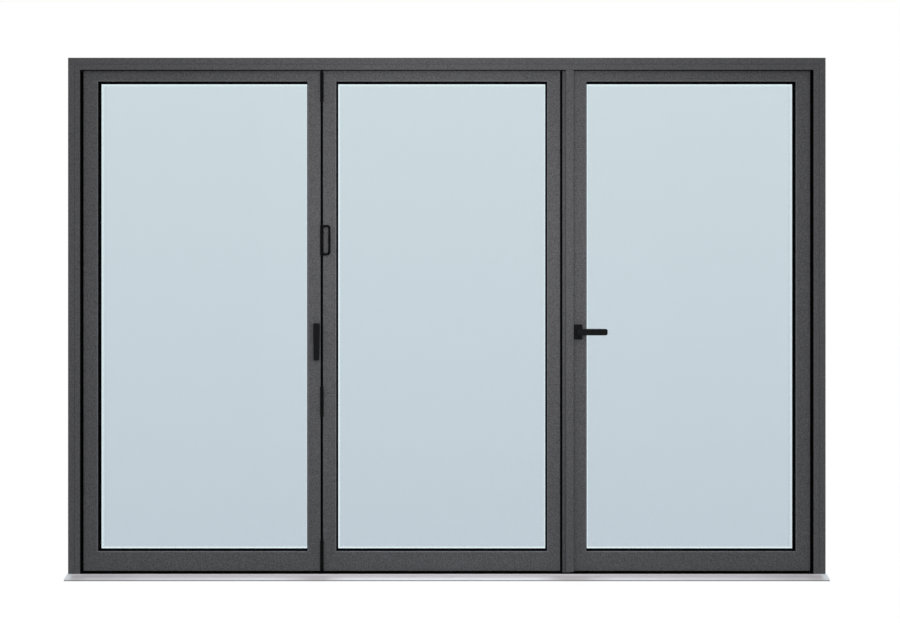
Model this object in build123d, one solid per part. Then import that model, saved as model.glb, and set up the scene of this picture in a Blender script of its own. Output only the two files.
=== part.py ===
"""A three-leaf bi-fold door: a fold pair and a traffic leaf in an aluminium frame on a low threshold.

X runs along the door, Y from the room (-) to the outside (+), Z up. The origin is the middle of the
threshold's underside. All sizes are in millimetres.
"""

import os
from dataclasses import dataclass

from build123d import *

# Outer frame
FRAME_WIDTH = 3000.0
FRAME_DEPTH = 80.0
FRAME_FACE = 48.0
HEAD_TOP = 2064.0
HEAD_SOLID = 30.0
UPSTAND_DEPTH = 10.0
FRAME_BEVEL = 1.5
FACE_GROOVE_INSET = 25.0
FACE_GROOVE_WIDTH = 1.6
FACE_GROOVE_DEPTH = 1.2
TRACK_WIDTH = 20.0
TRACK_DEPTH = 12.0

# Fixing holes through the jambs: two pairs in each, behind the seals
FIXING_HOLE_RADIUS = 4.0
FIXING_HOLE_SPACING = 600.0
FIXING_PAIR_HEIGHTS = (520.0, 1560.0)
FIXING_HOLE_BACK_INSET = 16.0

# Threshold, its black mat and the ramp in front
THRESHOLD_HEIGHT = 20.0
MAT_THICKNESS = 4.0
MAT_BACK_INSET = 6.0
THRESHOLD_TRACK_WIDTH = 14.0
THRESHOLD_TRACK_DEPTH = 8.0
RAMP_REACH = 34.0
RAMP_NOSE = 4.5
RAMP_OVERHANG = 4.0

# Leaves
LEAF_SETBACK = 15.0
LEAF_WIDTH = 942.0
FOLD_GAP = 10.0
JAMB_GAP = 8.0
LEAF_FLOOR_GAP = 8.0
LEAF_HEAD_GAP = 8.0
HINGE_STILE = 57.5
MEETING_STILE = 52.5
CLOSING_STILE = 51.5
LOCK_STILE = 57.5
TOP_RAIL = 53.0
BOTTOM_RAIL = 78.5
LEAF_BEVEL = 1.2

# Glazing
BEAD_FACE = 4.0
BEAD_BEVEL = 2.5
GLASS_RECESS = 30.0
PANE = 4.0
CAVITY = 16.0
ROOM_SEAL_DEPTH = 4.0
ROOM_SEAL_SIGHT = 5.3
ROOM_SEAL_LINING = 0.8
OUTER_SEAL_DEPTH = 3.0
OUTER_SEAL_SIGHT = 2.0
OUTER_SETBACK = 10.0
OUTER_HOLD = 8.0
UNIT_CLEARANCE = 3.0
SPACER_WIDTH = 10.0

# Black seals between the uprights
SEAL_SKIN_INSET = 1.0
SEAL_FRONT = 22.0
SEAL_DEPTH = 30.0
LEAF_SEAL_DEPTH = 50.0
EDGE_SEAL_THICKNESS = 2.5
LEAF_SEAL_SETBACK = 5.0

# Meeting mullion on the middle leaf
MULLION_GAP = 9.5
MULLION_STEP = 12.5
MULLION_LIP = 30.0
MULLION_LIP_LAP = 5.5
MULLION_EDGE_CLEARANCE = 5.0
LIP_DEPTH = 10.0
LIP_HEAD_CLEARANCE = 1.0
STEP_DROP = 6.0

# Fold hinges on the room side
FOLD_HINGE_END_INSET = 63.0
FOLD_HINGE_HEAD_INSET = 66.0
MIDDLE_HINGE_HEIGHT = 702.0
PULL_HINGE_HEIGHT = 1341.5
FOLD_BARREL_RADIUS = 6.75
FOLD_BARREL_LENGTH = 124.0
FOLD_BARREL_STANDOFF = 5.0
FOLD_BARREL_OFFSET = 1.2
BARREL_TAPER_LENGTH = 5.0
BARREL_TAPER_DEPTH = 2.0
KNUCKLE_SPLIT = 1.0
KNUCKLE_NECK_RADIUS = 5.4
FOLD_BLADE = 4.3
FOLD_BLADE_MARGIN = 12.0

# D loop of the pull hinge, turned a little towards the room
PULL_LOOP_REACH = 38.8
PULL_LOOP_HEIGHT = 120.0
PULL_LOOP_BAR = 8.5
PULL_LOOP_THICKNESS = 7.0
PULL_LOOP_CORNER = 14.0
PULL_LOOP_TURN = 25.0

# Jamb hinges on the outside
JAMB_HINGE_END_INSET = 95.0
JAMB_BARREL_RADIUS = 9.0
JAMB_BARREL_STANDOFF = 10.0
JAMB_HINGE_LENGTH = 120.0
JAMB_FLAP_WIDTH = 36.0
JAMB_FLAP_THICKNESS = 4.0
JAMB_PIN_RADIUS = 4.0
PIN_CLEARANCE = 0.05
KNUCKLE_CLEARANCE = 0.5

# Shoot-bolt handle on the left leaf
BOLT_HANDLE_INSET = 13.0
BOLT_PIVOT_HEIGHT = 1000.0
BOLT_BASE_WIDTH = 21.0
BOLT_BASE_HEIGHT = 58.0
BOLT_BASE_THICKNESS = 8.0
BOLT_NECK_RADIUS = 7.0
BOLT_NECK_REACH = 10.0
BOLT_GRIP_TOP_WIDTH = 25.0
BOLT_GRIP_END_WIDTH = 22.0
BOLT_GRIP_ABOVE = 12.5
BOLT_GRIP_BELOW = 134.5
BOLT_GRIP_THICKNESS = 12.0
BOLT_GRIP_CORNER = 5.0
BOLT_GRIP_EDGE = 2.0
BOLT_BASE_TOP_INSET = 1.5

# Lever handle on the door leaf
LEVER_INSET = 25.0
LEVER_HEIGHT = 978.0
ROSE_WIDTH = 32.0
ROSE_HEIGHT = 60.0
ROSE_THICKNESS = 8.0
ROSE_CORNER = 4.0
NECK_END_GAP = 1.0
LEVER_NECK_RADIUS = 9.0
LEVER_NECK_REACH = 42.0
INSIDE_BAR_HEIGHT = 25.5
OUTSIDE_BAR_HEIGHT = 19.5
LEVER_BAR_THICKNESS = 11.0
LEVER_BAR_REACH = 109.0
LEVER_BAR_TAIL = 12.0
LEVER_TAIL_FLAT = 1.0
LEVER_END_CORNER = 8.0
LEVER_EDGE = 2.0
SPINDLE_RADIUS = 4.0
BORE_CLEARANCE = 0.05

# Lock
FACEPLATE_WIDTH = 20.0
FACEPLATE_HEIGHT = 240.0
FACEPLATE_THICKNESS = 2.5
KEEP_HEIGHT = 160.0

# Planes that the pieces share
FRAME_FRONT = -FRAME_DEPTH / 2
FRAME_BACK = FRAME_DEPTH / 2
LEAF_FRONT = FRAME_FRONT + LEAF_SETBACK
LEAF_BACK = FRAME_BACK
FRAME_LEFT = -FRAME_WIDTH / 2
FRAME_RIGHT = FRAME_WIDTH / 2
JAMB_LEFT_FACE = FRAME_LEFT + FRAME_FACE
JAMB_RIGHT_FACE = FRAME_RIGHT - FRAME_FACE
HEAD_EDGE = HEAD_TOP - FRAME_FACE
SOFFIT = HEAD_TOP - HEAD_SOLID
UPSTAND_BACK = FRAME_FRONT + UPSTAND_DEPTH
LEAF_BOTTOM = THRESHOLD_HEIGHT + LEAF_FLOOR_GAP
LEAF_TOP = SOFFIT - LEAF_HEAD_GAP
GLASS_FRONT = LEAF_FRONT + GLASS_RECESS
GLASS_BACK = GLASS_FRONT + 2 * PANE + CAVITY
BEAD_BACK = GLASS_FRONT - ROOM_SEAL_DEPTH
LIP_BACK_FACE = GLASS_BACK + OUTER_SEAL_DEPTH
EDGE_COVER = OUTER_SETBACK + OUTER_HOLD
SEAL_START = FRAME_FRONT + SEAL_FRONT
SEAL_END = SEAL_START + SEAL_DEPTH
LEFT_LEAF_LEFT = JAMB_LEFT_FACE + JAMB_GAP
LEFT_LEAF_RIGHT = LEFT_LEAF_LEFT + LEAF_WIDTH
MIDDLE_LEAF_LEFT = LEFT_LEAF_RIGHT + FOLD_GAP
MIDDLE_LEAF_RIGHT = MIDDLE_LEAF_LEFT + LEAF_WIDTH
MULLION_LEFT = MIDDLE_LEAF_RIGHT + MULLION_GAP
LIP_LEFT = MULLION_LEFT + MULLION_STEP
LIP_RIGHT = LIP_LEFT + MULLION_LIP
DOOR_LEAF_LEFT = LIP_RIGHT - MULLION_LIP_LAP
DOOR_LEAF_RIGHT = JAMB_RIGHT_FACE - JAMB_GAP
MULLION_RIGHT = DOOR_LEAF_LEFT - MULLION_EDGE_CLEARANCE
BOLT_HANDLE_X = LEFT_LEAF_RIGHT - BOLT_HANDLE_INSET
LEVER_X = DOOR_LEAF_LEFT + LEVER_INSET
FOLD_BARREL_X = (LEFT_LEAF_RIGHT + MIDDLE_LEAF_LEFT) / 2 + FOLD_BARREL_OFFSET
FOLD_BARREL_Y = LEAF_FRONT - FOLD_BARREL_STANDOFF
FOLD_HINGE_HEIGHTS = (
    LEAF_BOTTOM + FOLD_HINGE_END_INSET,
    MIDDLE_HINGE_HEIGHT,
    HEAD_EDGE - FOLD_HINGE_HEAD_INSET,
)
JAMB_HINGE_HEIGHTS = (
    LEAF_BOTTOM + JAMB_HINGE_END_INSET,
    MIDDLE_HINGE_HEIGHT,
    PULL_HINGE_HEIGHT,
    LEAF_TOP - JAMB_HINGE_END_INSET,
)


def block(x0, x1, y0, y1, z0, z1):
    """A box between six planes."""
    middle = ((x0 + x1) / 2, (y0 + y1) / 2, (z0 + z1) / 2)
    return Pos(*middle) * Box(x1 - x0, y1 - y0, z1 - z0)


def elevation(points, y0, y1):
    """A prism along Y over an outline drawn in X and Z."""
    outline = Polyline(*[(x, y0, z) for x, z in points], close=True)
    return extrude(make_face(outline), amount=y1 - y0, dir=(0, 1, 0))


def plan(points, z0, z1):
    """A prism along Z over an outline drawn in X and Y."""
    outline = Polyline(*[(x, y, z0) for x, y in points], close=True)
    return extrude(make_face(outline), amount=z1 - z0, dir=(0, 0, 1))


def section(points, x0, x1):
    """A prism along X over an outline drawn in Y and Z."""
    outline = Polyline(*[(x0, y, z) for y, z in points], close=True)
    return extrude(make_face(outline), amount=x1 - x0, dir=(1, 0, 0))


def rod(radius, start, length, along="Z"):
    """A cylinder from a start point along one axis."""
    x, y, z = start
    if along == "Y":
        return Pos(x, y + length / 2, z) * Rot(90, 0, 0) * Cylinder(radius, length)
    return Pos(x, y, z + length / 2) * Cylinder(radius, length)


def rounded_plate(width, height, thickness, corner, centre):
    """A plate facing along Y with rounded corners, its middle at a point."""
    plate = Box(width, thickness, height)
    plate = fillet(plate.edges().filter_by(Axis.Y), corner)
    return Pos(*centre) * plate


def save(name, *solids):
    """Write one node."""
    shape = solids[0] if len(solids) == 1 else Compound(children=list(solids))
    export_step(shape, f"parts/{name}.step")


@dataclass
class Leaf:
    """One glazed leaf between two upright edges, with the widths of its two stiles."""

    name: str
    left: float
    right: float
    left_stile: float
    right_stile: float

    @property
    def window(self):
        """The daylight opening as left, right, bottom and top."""
        return (
            self.left + self.left_stile,
            self.right - self.right_stile,
            LEAF_BOTTOM + BOTTOM_RAIL,
            LEAF_TOP - TOP_RAIL,
        )

    def opening(self, grow, y0, y1):
        """A box over the daylight opening, grown on all four sides."""
        x0, x1, z0, z1 = self.window
        return block(x0 - grow, x1 + grow, y0, y1, z0 - grow, z1 + grow)

    def ring(self, outer, inner, y0, y1):
        """A rectangular ring round the daylight opening."""
        return self.opening(outer, y0, y1) - self.opening(inner, y0, y1)

    def profile_ring(self):
        """The four mitred bars as one ring, with the pocket for the glass."""
        ring = block(self.left, self.right, LEAF_FRONT, LEAF_BACK, LEAF_BOTTOM, LEAF_TOP)
        edges = ring.edges().filter_by(Axis.Y, reverse=True)
        ring = chamfer(edges, LEAF_BEVEL)
        ring -= self.opening(BEAD_FACE, LEAF_FRONT, BEAD_BACK)
        ring -= self.opening(EDGE_COVER + UNIT_CLEARANCE, BEAD_BACK, LIP_BACK_FACE)
        return ring - self.opening(OUTER_SETBACK, LIP_BACK_FACE, LEAF_BACK)

    def mitre_wedges(self):
        """Prisms that cut the ring into its four bars."""
        x0, x1, z0, z1 = self.window
        left, right, bottom, top = self.left, self.right, LEAF_BOTTOM, LEAF_TOP
        outlines = {
            "left_stile": [(left, bottom), (x0, z0), (x0, z1), (left, top)],
            "right_stile": [(right, bottom), (right, top), (x1, z1), (x1, z0)],
            "bottom_rail": [(left, bottom), (right, bottom), (x1, z0), (x0, z0)],
            "top_rail": [(left, top), (x0, z1), (x1, z1), (right, top)],
        }
        for part, outline in outlines.items():
            yield part, elevation(outline, LEAF_FRONT, LEAF_BACK)

    def bars(self):
        """The four bars by name."""
        ring = self.profile_ring()
        return {part: ring & wedge for part, wedge in self.mitre_wedges()}

    def beads(self):
        """The bead ring at the daylight edge, bevelled towards the room."""
        ring = self.ring(BEAD_FACE, 0, LEAF_FRONT, BEAD_BACK)
        front = ring.faces().sort_by(Axis.Y)[0]
        return chamfer(front.inner_wires()[0].edges(), BEAD_BEVEL)

    def seals(self):
        """The room-side seal with its lining over the bead, and the outer seal."""
        room = self.ring(EDGE_COVER, -ROOM_SEAL_SIGHT, BEAD_BACK, GLASS_FRONT)
        lining = self.ring(0, -ROOM_SEAL_LINING, LEAF_FRONT + BEAD_BEVEL, BEAD_BACK)
        outer = self.ring(EDGE_COVER, OUTER_SETBACK - OUTER_SEAL_SIGHT, GLASS_BACK, LIP_BACK_FACE)
        return [room + lining, outer]

    def panes(self):
        """The two sheets of glass."""
        return [
            self.opening(EDGE_COVER, GLASS_FRONT, GLASS_FRONT + PANE),
            self.opening(EDGE_COVER, GLASS_BACK - PANE, GLASS_BACK),
        ]

    def spacer(self):
        """The spacer bars between the panes."""
        sight_line = EDGE_COVER - SPACER_WIDTH
        return self.ring(EDGE_COVER, sight_line, GLASS_FRONT + PANE, GLASS_BACK - PANE)


def frame_bars():
    """Head and jambs: mitred at the corners, with the face groove and the track in the head."""
    upstand = [
        (FRAME_LEFT, HEAD_TOP),
        (JAMB_LEFT_FACE, HEAD_EDGE),
        (JAMB_RIGHT_FACE, HEAD_EDGE),
        (FRAME_RIGHT, HEAD_TOP),
    ]
    head = [
        (FRAME_LEFT, HEAD_TOP),
        (FRAME_LEFT + HEAD_SOLID, SOFFIT),
        (FRAME_RIGHT - HEAD_SOLID, SOFFIT),
        (FRAME_RIGHT, HEAD_TOP),
    ]
    bars = {
        "head_frame": elevation(upstand, FRAME_FRONT, UPSTAND_BACK)
        + elevation(head, UPSTAND_BACK, FRAME_BACK)
    }
    for name, edge, face in (
        ("left_jamb", FRAME_LEFT, JAMB_LEFT_FACE),
        ("right_jamb", FRAME_RIGHT, JAMB_RIGHT_FACE),
    ):
        inward = 1 if face > edge else -1
        foot = [(edge, THRESHOLD_HEIGHT), (face, THRESHOLD_HEIGHT)]
        front = foot + [(face, HEAD_EDGE), (edge, HEAD_TOP)]
        back = foot + [(face, SOFFIT), (edge + inward * HEAD_SOLID, SOFFIT), (edge, HEAD_TOP)]
        bar = elevation(front, FRAME_FRONT, UPSTAND_BACK)
        bars[name] = bar + elevation(back, UPSTAND_BACK, FRAME_BACK)
    groove = face_groove()
    bars = {name: bar - groove - edge_bevels() for name, bar in bars.items()}
    for hole in fixing_holes():
        bars["left_jamb"] -= hole
        bars["right_jamb"] -= hole
    bars["head_frame"] -= block(
        JAMB_LEFT_FACE,
        JAMB_RIGHT_FACE,
        -TRACK_WIDTH / 2,
        TRACK_WIDTH / 2,
        SOFFIT,
        SOFFIT + TRACK_DEPTH,
    )
    return bars


def fixing_holes():
    """Cutters for the fixing holes, each right across the door."""
    y = FRAME_BACK - FIXING_HOLE_BACK_INSET
    for pair_height in FIXING_PAIR_HEIGHTS:
        for side in (-1, 1):
            z = pair_height + side * FIXING_HOLE_SPACING / 2
            yield Pos(0, y, z) * Rot(0, 90, 0) * Cylinder(FIXING_HOLE_RADIUS, FRAME_WIDTH)


def face_groove():
    """The fine line round the frame's room-side face, as three bars that meet at the corners."""
    reach = FRAME_WIDTH / 2 - FACE_GROOVE_INSET
    top = HEAD_TOP - FACE_GROOVE_INSET
    y0, y1 = FRAME_FRONT, FRAME_FRONT + FACE_GROOVE_DEPTH
    across = block(-reach, reach, y0, y1, top - FACE_GROOVE_WIDTH, top)
    left = block(-reach, -reach + FACE_GROOVE_WIDTH, y0, y1, THRESHOLD_HEIGHT, top)
    right = block(reach - FACE_GROOVE_WIDTH, reach, y0, y1, THRESHOLD_HEIGHT, top)
    return across + left + right


def edge_bevels():
    """Small bevels along the outer front edges of the frame, as a cutter."""
    reach = FRAME_WIDTH / 2
    y0, y1 = FRAME_FRONT, FRAME_FRONT + FRAME_BEVEL
    top = section([(y0, HEAD_TOP), (y0, HEAD_TOP - FRAME_BEVEL), (y1, HEAD_TOP)], -reach, reach)
    left = plan([(-reach, y0), (-reach + FRAME_BEVEL, y0), (-reach, y1)], THRESHOLD_HEIGHT, HEAD_TOP)
    right = plan([(reach, y0), (reach, y1), (reach - FRAME_BEVEL, y0)], THRESHOLD_HEIGHT, HEAD_TOP)
    return top + left + right


def threshold_parts():
    """The threshold with its track, the black mat on it and the ramp in front."""
    mat_bottom = THRESHOLD_HEIGHT - MAT_THICKNESS
    mat_back = FRAME_BACK - MAT_BACK_INSET
    body = block(FRAME_LEFT, FRAME_RIGHT, FRAME_FRONT, FRAME_BACK, 0, THRESHOLD_HEIGHT)
    mat_space = block(
        JAMB_LEFT_FACE, JAMB_RIGHT_FACE, FRAME_FRONT, mat_back, mat_bottom, THRESHOLD_HEIGHT
    )
    track = block(
        JAMB_LEFT_FACE,
        JAMB_RIGHT_FACE,
        -THRESHOLD_TRACK_WIDTH / 2,
        THRESHOLD_TRACK_WIDTH / 2,
        THRESHOLD_HEIGHT - THRESHOLD_TRACK_DEPTH,
        THRESHOLD_HEIGHT,
    )
    ramp_front = FRAME_FRONT - RAMP_REACH
    ramp = section(
        [(FRAME_FRONT, 0), (FRAME_FRONT, THRESHOLD_HEIGHT), (ramp_front, RAMP_NOSE), (ramp_front, 0)],
        FRAME_LEFT - RAMP_OVERHANG,
        FRAME_RIGHT + RAMP_OVERHANG,
    )
    return {
        "threshold": [body - mat_space - track],
        "threshold_mat": (mat_space - track).solids(),
        "entry_ramp": [ramp],
    }


def upright_seals():
    """The black seals by the leaves: filled where both sides stay, thin where the door leaf opens."""
    skin_start = FRAME_FRONT + SEAL_SKIN_INSET
    left = block(
        JAMB_LEFT_FACE,
        JAMB_LEFT_FACE + EDGE_SEAL_THICKNESS,
        skin_start,
        SEAL_START,
        THRESHOLD_HEIGHT,
        HEAD_EDGE,
    ) + block(JAMB_LEFT_FACE, LEFT_LEAF_LEFT, SEAL_START, SEAL_END, THRESHOLD_HEIGHT, HEAD_EDGE)
    right = block(
        JAMB_RIGHT_FACE - EDGE_SEAL_THICKNESS,
        JAMB_RIGHT_FACE,
        skin_start,
        SEAL_END,
        THRESHOLD_HEIGHT,
        HEAD_EDGE,
    )
    start = LEAF_FRONT + LEAF_SEAL_SETBACK
    end = start + LEAF_SEAL_DEPTH
    fold = block(LEFT_LEAF_RIGHT, MIDDLE_LEAF_LEFT, start, end, LEAF_BOTTOM, LEAF_TOP)
    mullion = block(MIDDLE_LEAF_RIGHT, MULLION_LEFT, start, end, LEAF_BOTTOM, LEAF_TOP)
    return {
        "left_jamb_seal": left,
        "right_jamb_seal": right,
        "fold_seal": fold,
        "mullion_seal": mullion,
    }


def meeting_mullion():
    """The stepped upright beside the middle leaf, with a lip over the edge of the door leaf."""
    body = block(MULLION_LEFT, MULLION_RIGHT, LEAF_FRONT, LEAF_BACK, LEAF_BOTTOM - STEP_DROP, LEAF_TOP)
    lip_top = HEAD_EDGE - LIP_HEAD_CLEARANCE
    web = block(LIP_LEFT, MULLION_RIGHT, FRAME_FRONT, LEAF_FRONT, LEAF_BOTTOM, lip_top)
    lip = block(LIP_LEFT, LIP_RIGHT, FRAME_FRONT, FRAME_FRONT + LIP_DEPTH, LEAF_BOTTOM, lip_top)
    return body + web + lip


def fold_barrel(height):
    """One black barrel hinge over the fold gap: three knuckles and two blades into the gap."""
    bottom = height - FOLD_BARREL_LENGTH / 2
    taper = FOLD_BARREL_RADIUS - BARREL_TAPER_DEPTH
    knuckle = (FOLD_BARREL_LENGTH - 2 * KNUCKLE_SPLIT) / 3
    outline = [(0, 0), (taper, 0), (FOLD_BARREL_RADIUS, BARREL_TAPER_LENGTH)]
    for split in (knuckle, 2 * knuckle + KNUCKLE_SPLIT):
        outline += [
            (FOLD_BARREL_RADIUS, split),
            (KNUCKLE_NECK_RADIUS, split),
            (KNUCKLE_NECK_RADIUS, split + KNUCKLE_SPLIT),
            (FOLD_BARREL_RADIUS, split + KNUCKLE_SPLIT),
        ]
    outline += [
        (FOLD_BARREL_RADIUS, FOLD_BARREL_LENGTH - BARREL_TAPER_LENGTH),
        (taper, FOLD_BARREL_LENGTH),
        (0, FOLD_BARREL_LENGTH),
    ]
    profile = make_face(Polyline(*[(r, 0, h) for r, h in outline], close=True))
    barrel = Pos(FOLD_BARREL_X, FOLD_BARREL_Y, bottom) * revolve(profile, Axis.Z)
    z0, z1 = bottom + FOLD_BLADE_MARGIN, bottom + FOLD_BARREL_LENGTH - FOLD_BLADE_MARGIN
    y0, y1 = FOLD_BARREL_Y, LEAF_FRONT + LEAF_SEAL_SETBACK
    left_blade = block(LEFT_LEAF_RIGHT, LEFT_LEAF_RIGHT + FOLD_BLADE, y0, y1, z0, z1)
    right_blade = block(MIDDLE_LEAF_LEFT - FOLD_BLADE, MIDDLE_LEAF_LEFT, y0, y1, z0, z1)
    return barrel + left_blade + right_blade


def pull_loop():
    """The D loop of the pull hinge, turned about its barrel towards the room."""
    reach, half = PULL_LOOP_REACH, PULL_LOOP_HEIGHT / 2
    outer = Pos(reach / 2, 0, 0) * Box(reach, PULL_LOOP_THICKNESS, 2 * half)
    far = outer.edges().filter_by(Axis.Y).group_by(Axis.X)[-1]
    outer = fillet(far, PULL_LOOP_CORNER)
    inner_corner = PULL_LOOP_CORNER - PULL_LOOP_BAR
    inner_reach = reach - PULL_LOOP_BAR
    inner = Box(inner_reach, PULL_LOOP_THICKNESS, 2 * (half - PULL_LOOP_BAR))
    inner = Pos(inner_reach / 2, 0, 0) * inner
    inner_far = inner.edges().filter_by(Axis.Y).group_by(Axis.X)[-1]
    inner = fillet(inner_far, inner_corner)
    loop = outer - inner
    pivot = Pos(FOLD_BARREL_X, FOLD_BARREL_Y, PULL_HINGE_HEIGHT)
    return pivot * Rot(0, 0, -PULL_LOOP_TURN) * loop


def jamb_hinge(pivot_x, away, height):
    """One outside barrel hinge: the frame half with its pin, and the leaf half."""
    radius, half = JAMB_BARREL_RADIUS, JAMB_HINGE_LENGTH / 2
    y = FRAME_BACK + JAMB_BARREL_STANDOFF
    third = JAMB_HINGE_LENGTH / 3
    bottom, top = height - half, height + half
    low, high = bottom + third, top - third
    near = pivot_x + away * JAMB_GAP / 2
    far = near + away * JAMB_FLAP_WIDTH
    flap_x = sorted((near, far))
    back = FRAME_BACK + JAMB_FLAP_THICKNESS
    frame_half = block(*flap_x, FRAME_BACK, back, bottom, top)
    frame_half -= block(
        *sorted((near, near + away * (radius + KNUCKLE_CLEARANCE))),
        FRAME_BACK,
        back,
        low - KNUCKLE_CLEARANCE,
        high + KNUCKLE_CLEARANCE,
    )
    frame_half += rod(radius, (pivot_x, y, bottom), third)
    frame_half += rod(radius, (pivot_x, y, high), third)
    frame_half += rod(JAMB_PIN_RADIUS, (pivot_x, y, bottom), JAMB_HINGE_LENGTH)
    leaf_near = pivot_x - away * JAMB_GAP / 2
    leaf_x = sorted((leaf_near, leaf_near - away * JAMB_FLAP_WIDTH))
    leaf_half = block(*leaf_x, LEAF_BACK, back, bottom, top)
    clear_x = sorted((leaf_near, leaf_near - away * (radius + KNUCKLE_CLEARANCE)))
    for z0, z1 in ((bottom, low + KNUCKLE_CLEARANCE), (high - KNUCKLE_CLEARANCE, top)):
        leaf_half -= block(*clear_x, LEAF_BACK, back, z0, z1)
    knuckle_bottom = low + KNUCKLE_CLEARANCE
    knuckle_length = high - low - 2 * KNUCKLE_CLEARANCE
    leaf_half += rod(radius, (pivot_x, y, knuckle_bottom), knuckle_length)
    leaf_half -= rod(JAMB_PIN_RADIUS + PIN_CLEARANCE, (pivot_x, y, knuckle_bottom), knuckle_length)
    return frame_half, leaf_half


def bolt_handle():
    """The shoot-bolt handle: its base on the stile and the tapering grip with its neck."""
    base_front = LEAF_FRONT - BOLT_BASE_THICKNESS
    centre_z = BOLT_PIVOT_HEIGHT + BOLT_GRIP_ABOVE - BOLT_BASE_TOP_INSET - BOLT_BASE_HEIGHT / 2
    base = rounded_plate(
        BOLT_BASE_WIDTH,
        BOLT_BASE_HEIGHT,
        BOLT_BASE_THICKNESS,
        BOLT_GRIP_CORNER,
        (BOLT_HANDLE_X, LEAF_FRONT - BOLT_BASE_THICKNESS / 2, centre_z),
    )
    hole = rod(
        BOLT_NECK_RADIUS + BORE_CLEARANCE,
        (BOLT_HANDLE_X, base_front, BOLT_PIVOT_HEIGHT),
        BOLT_BASE_THICKNESS,
        "Y",
    )
    grip_back = base_front - BOLT_NECK_REACH
    grip_front = grip_back - BOLT_GRIP_THICKNESS
    top, end = BOLT_GRIP_TOP_WIDTH / 2, BOLT_GRIP_END_WIDTH / 2
    z_top = BOLT_PIVOT_HEIGHT + BOLT_GRIP_ABOVE
    z_end = BOLT_PIVOT_HEIGHT - BOLT_GRIP_BELOW
    corners = ((top, z_top), (end, z_end), (-end, z_end), (-top, z_top))
    grip = elevation([(BOLT_HANDLE_X + x, z) for x, z in corners], grip_front, grip_back)
    grip = fillet(grip.edges().filter_by(Axis.Y), BOLT_GRIP_CORNER)
    grip = fillet(grip.faces().sort_by(Axis.Y)[0].edges(), BOLT_GRIP_EDGE)
    neck_length = BOLT_NECK_REACH + BOLT_BASE_THICKNESS - NECK_END_GAP
    neck = rod(BOLT_NECK_RADIUS, (BOLT_HANDLE_X, grip_back, BOLT_PIVOT_HEIGHT), neck_length, "Y")
    return base - hole, grip + neck


def rose(side):
    """One rose plate with the bore for the lever's neck; side is -1 for the room, 1 for the outside."""
    face = LEAF_FRONT if side < 0 else LEAF_BACK
    centre = (LEVER_X, face + side * ROSE_THICKNESS / 2, LEVER_HEIGHT)
    plate = rounded_plate(ROSE_WIDTH, ROSE_HEIGHT, ROSE_THICKNESS, ROSE_CORNER, centre)
    start = (LEVER_X, face - ROSE_THICKNESS if side < 0 else face, LEVER_HEIGHT)
    return plate - rod(LEVER_NECK_RADIUS + BORE_CLEARANCE, start, ROSE_THICKNESS, "Y")


def lever(side):
    """One lever: neck through the rose and a flat bar with a rounded end."""
    face = LEAF_FRONT if side < 0 else LEAF_BACK
    reach = ROSE_THICKNESS + LEVER_NECK_REACH
    neck_start = face - reach if side < 0 else face + NECK_END_GAP
    neck = rod(LEVER_NECK_RADIUS, (LEVER_X, neck_start, LEVER_HEIGHT), reach - NECK_END_GAP, "Y")
    near = face + side * reach
    y0, y1 = sorted((near, near + side * LEVER_BAR_THICKNESS))
    half = (INSIDE_BAR_HEIGHT if side < 0 else OUTSIDE_BAR_HEIGHT) / 2
    x0, x1 = LEVER_X - LEVER_BAR_TAIL, LEVER_X + LEVER_BAR_REACH
    bar = block(x0, x1, y0, y1, LEVER_HEIGHT - half, LEVER_HEIGHT + half)
    ends = bar.edges().filter_by(Axis.Y).group_by(Axis.X)
    bar = fillet(ends[0], half - LEVER_TAIL_FLAT / 2)
    ends = bar.edges().filter_by(Axis.Y).group_by(Axis.X)
    bar = fillet(ends[-1], LEVER_END_CORNER)
    bar = fillet(bar.faces().sort_by(Axis.Y)[0 if side < 0 else -1].edges(), LEVER_EDGE)
    return bar + neck


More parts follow.
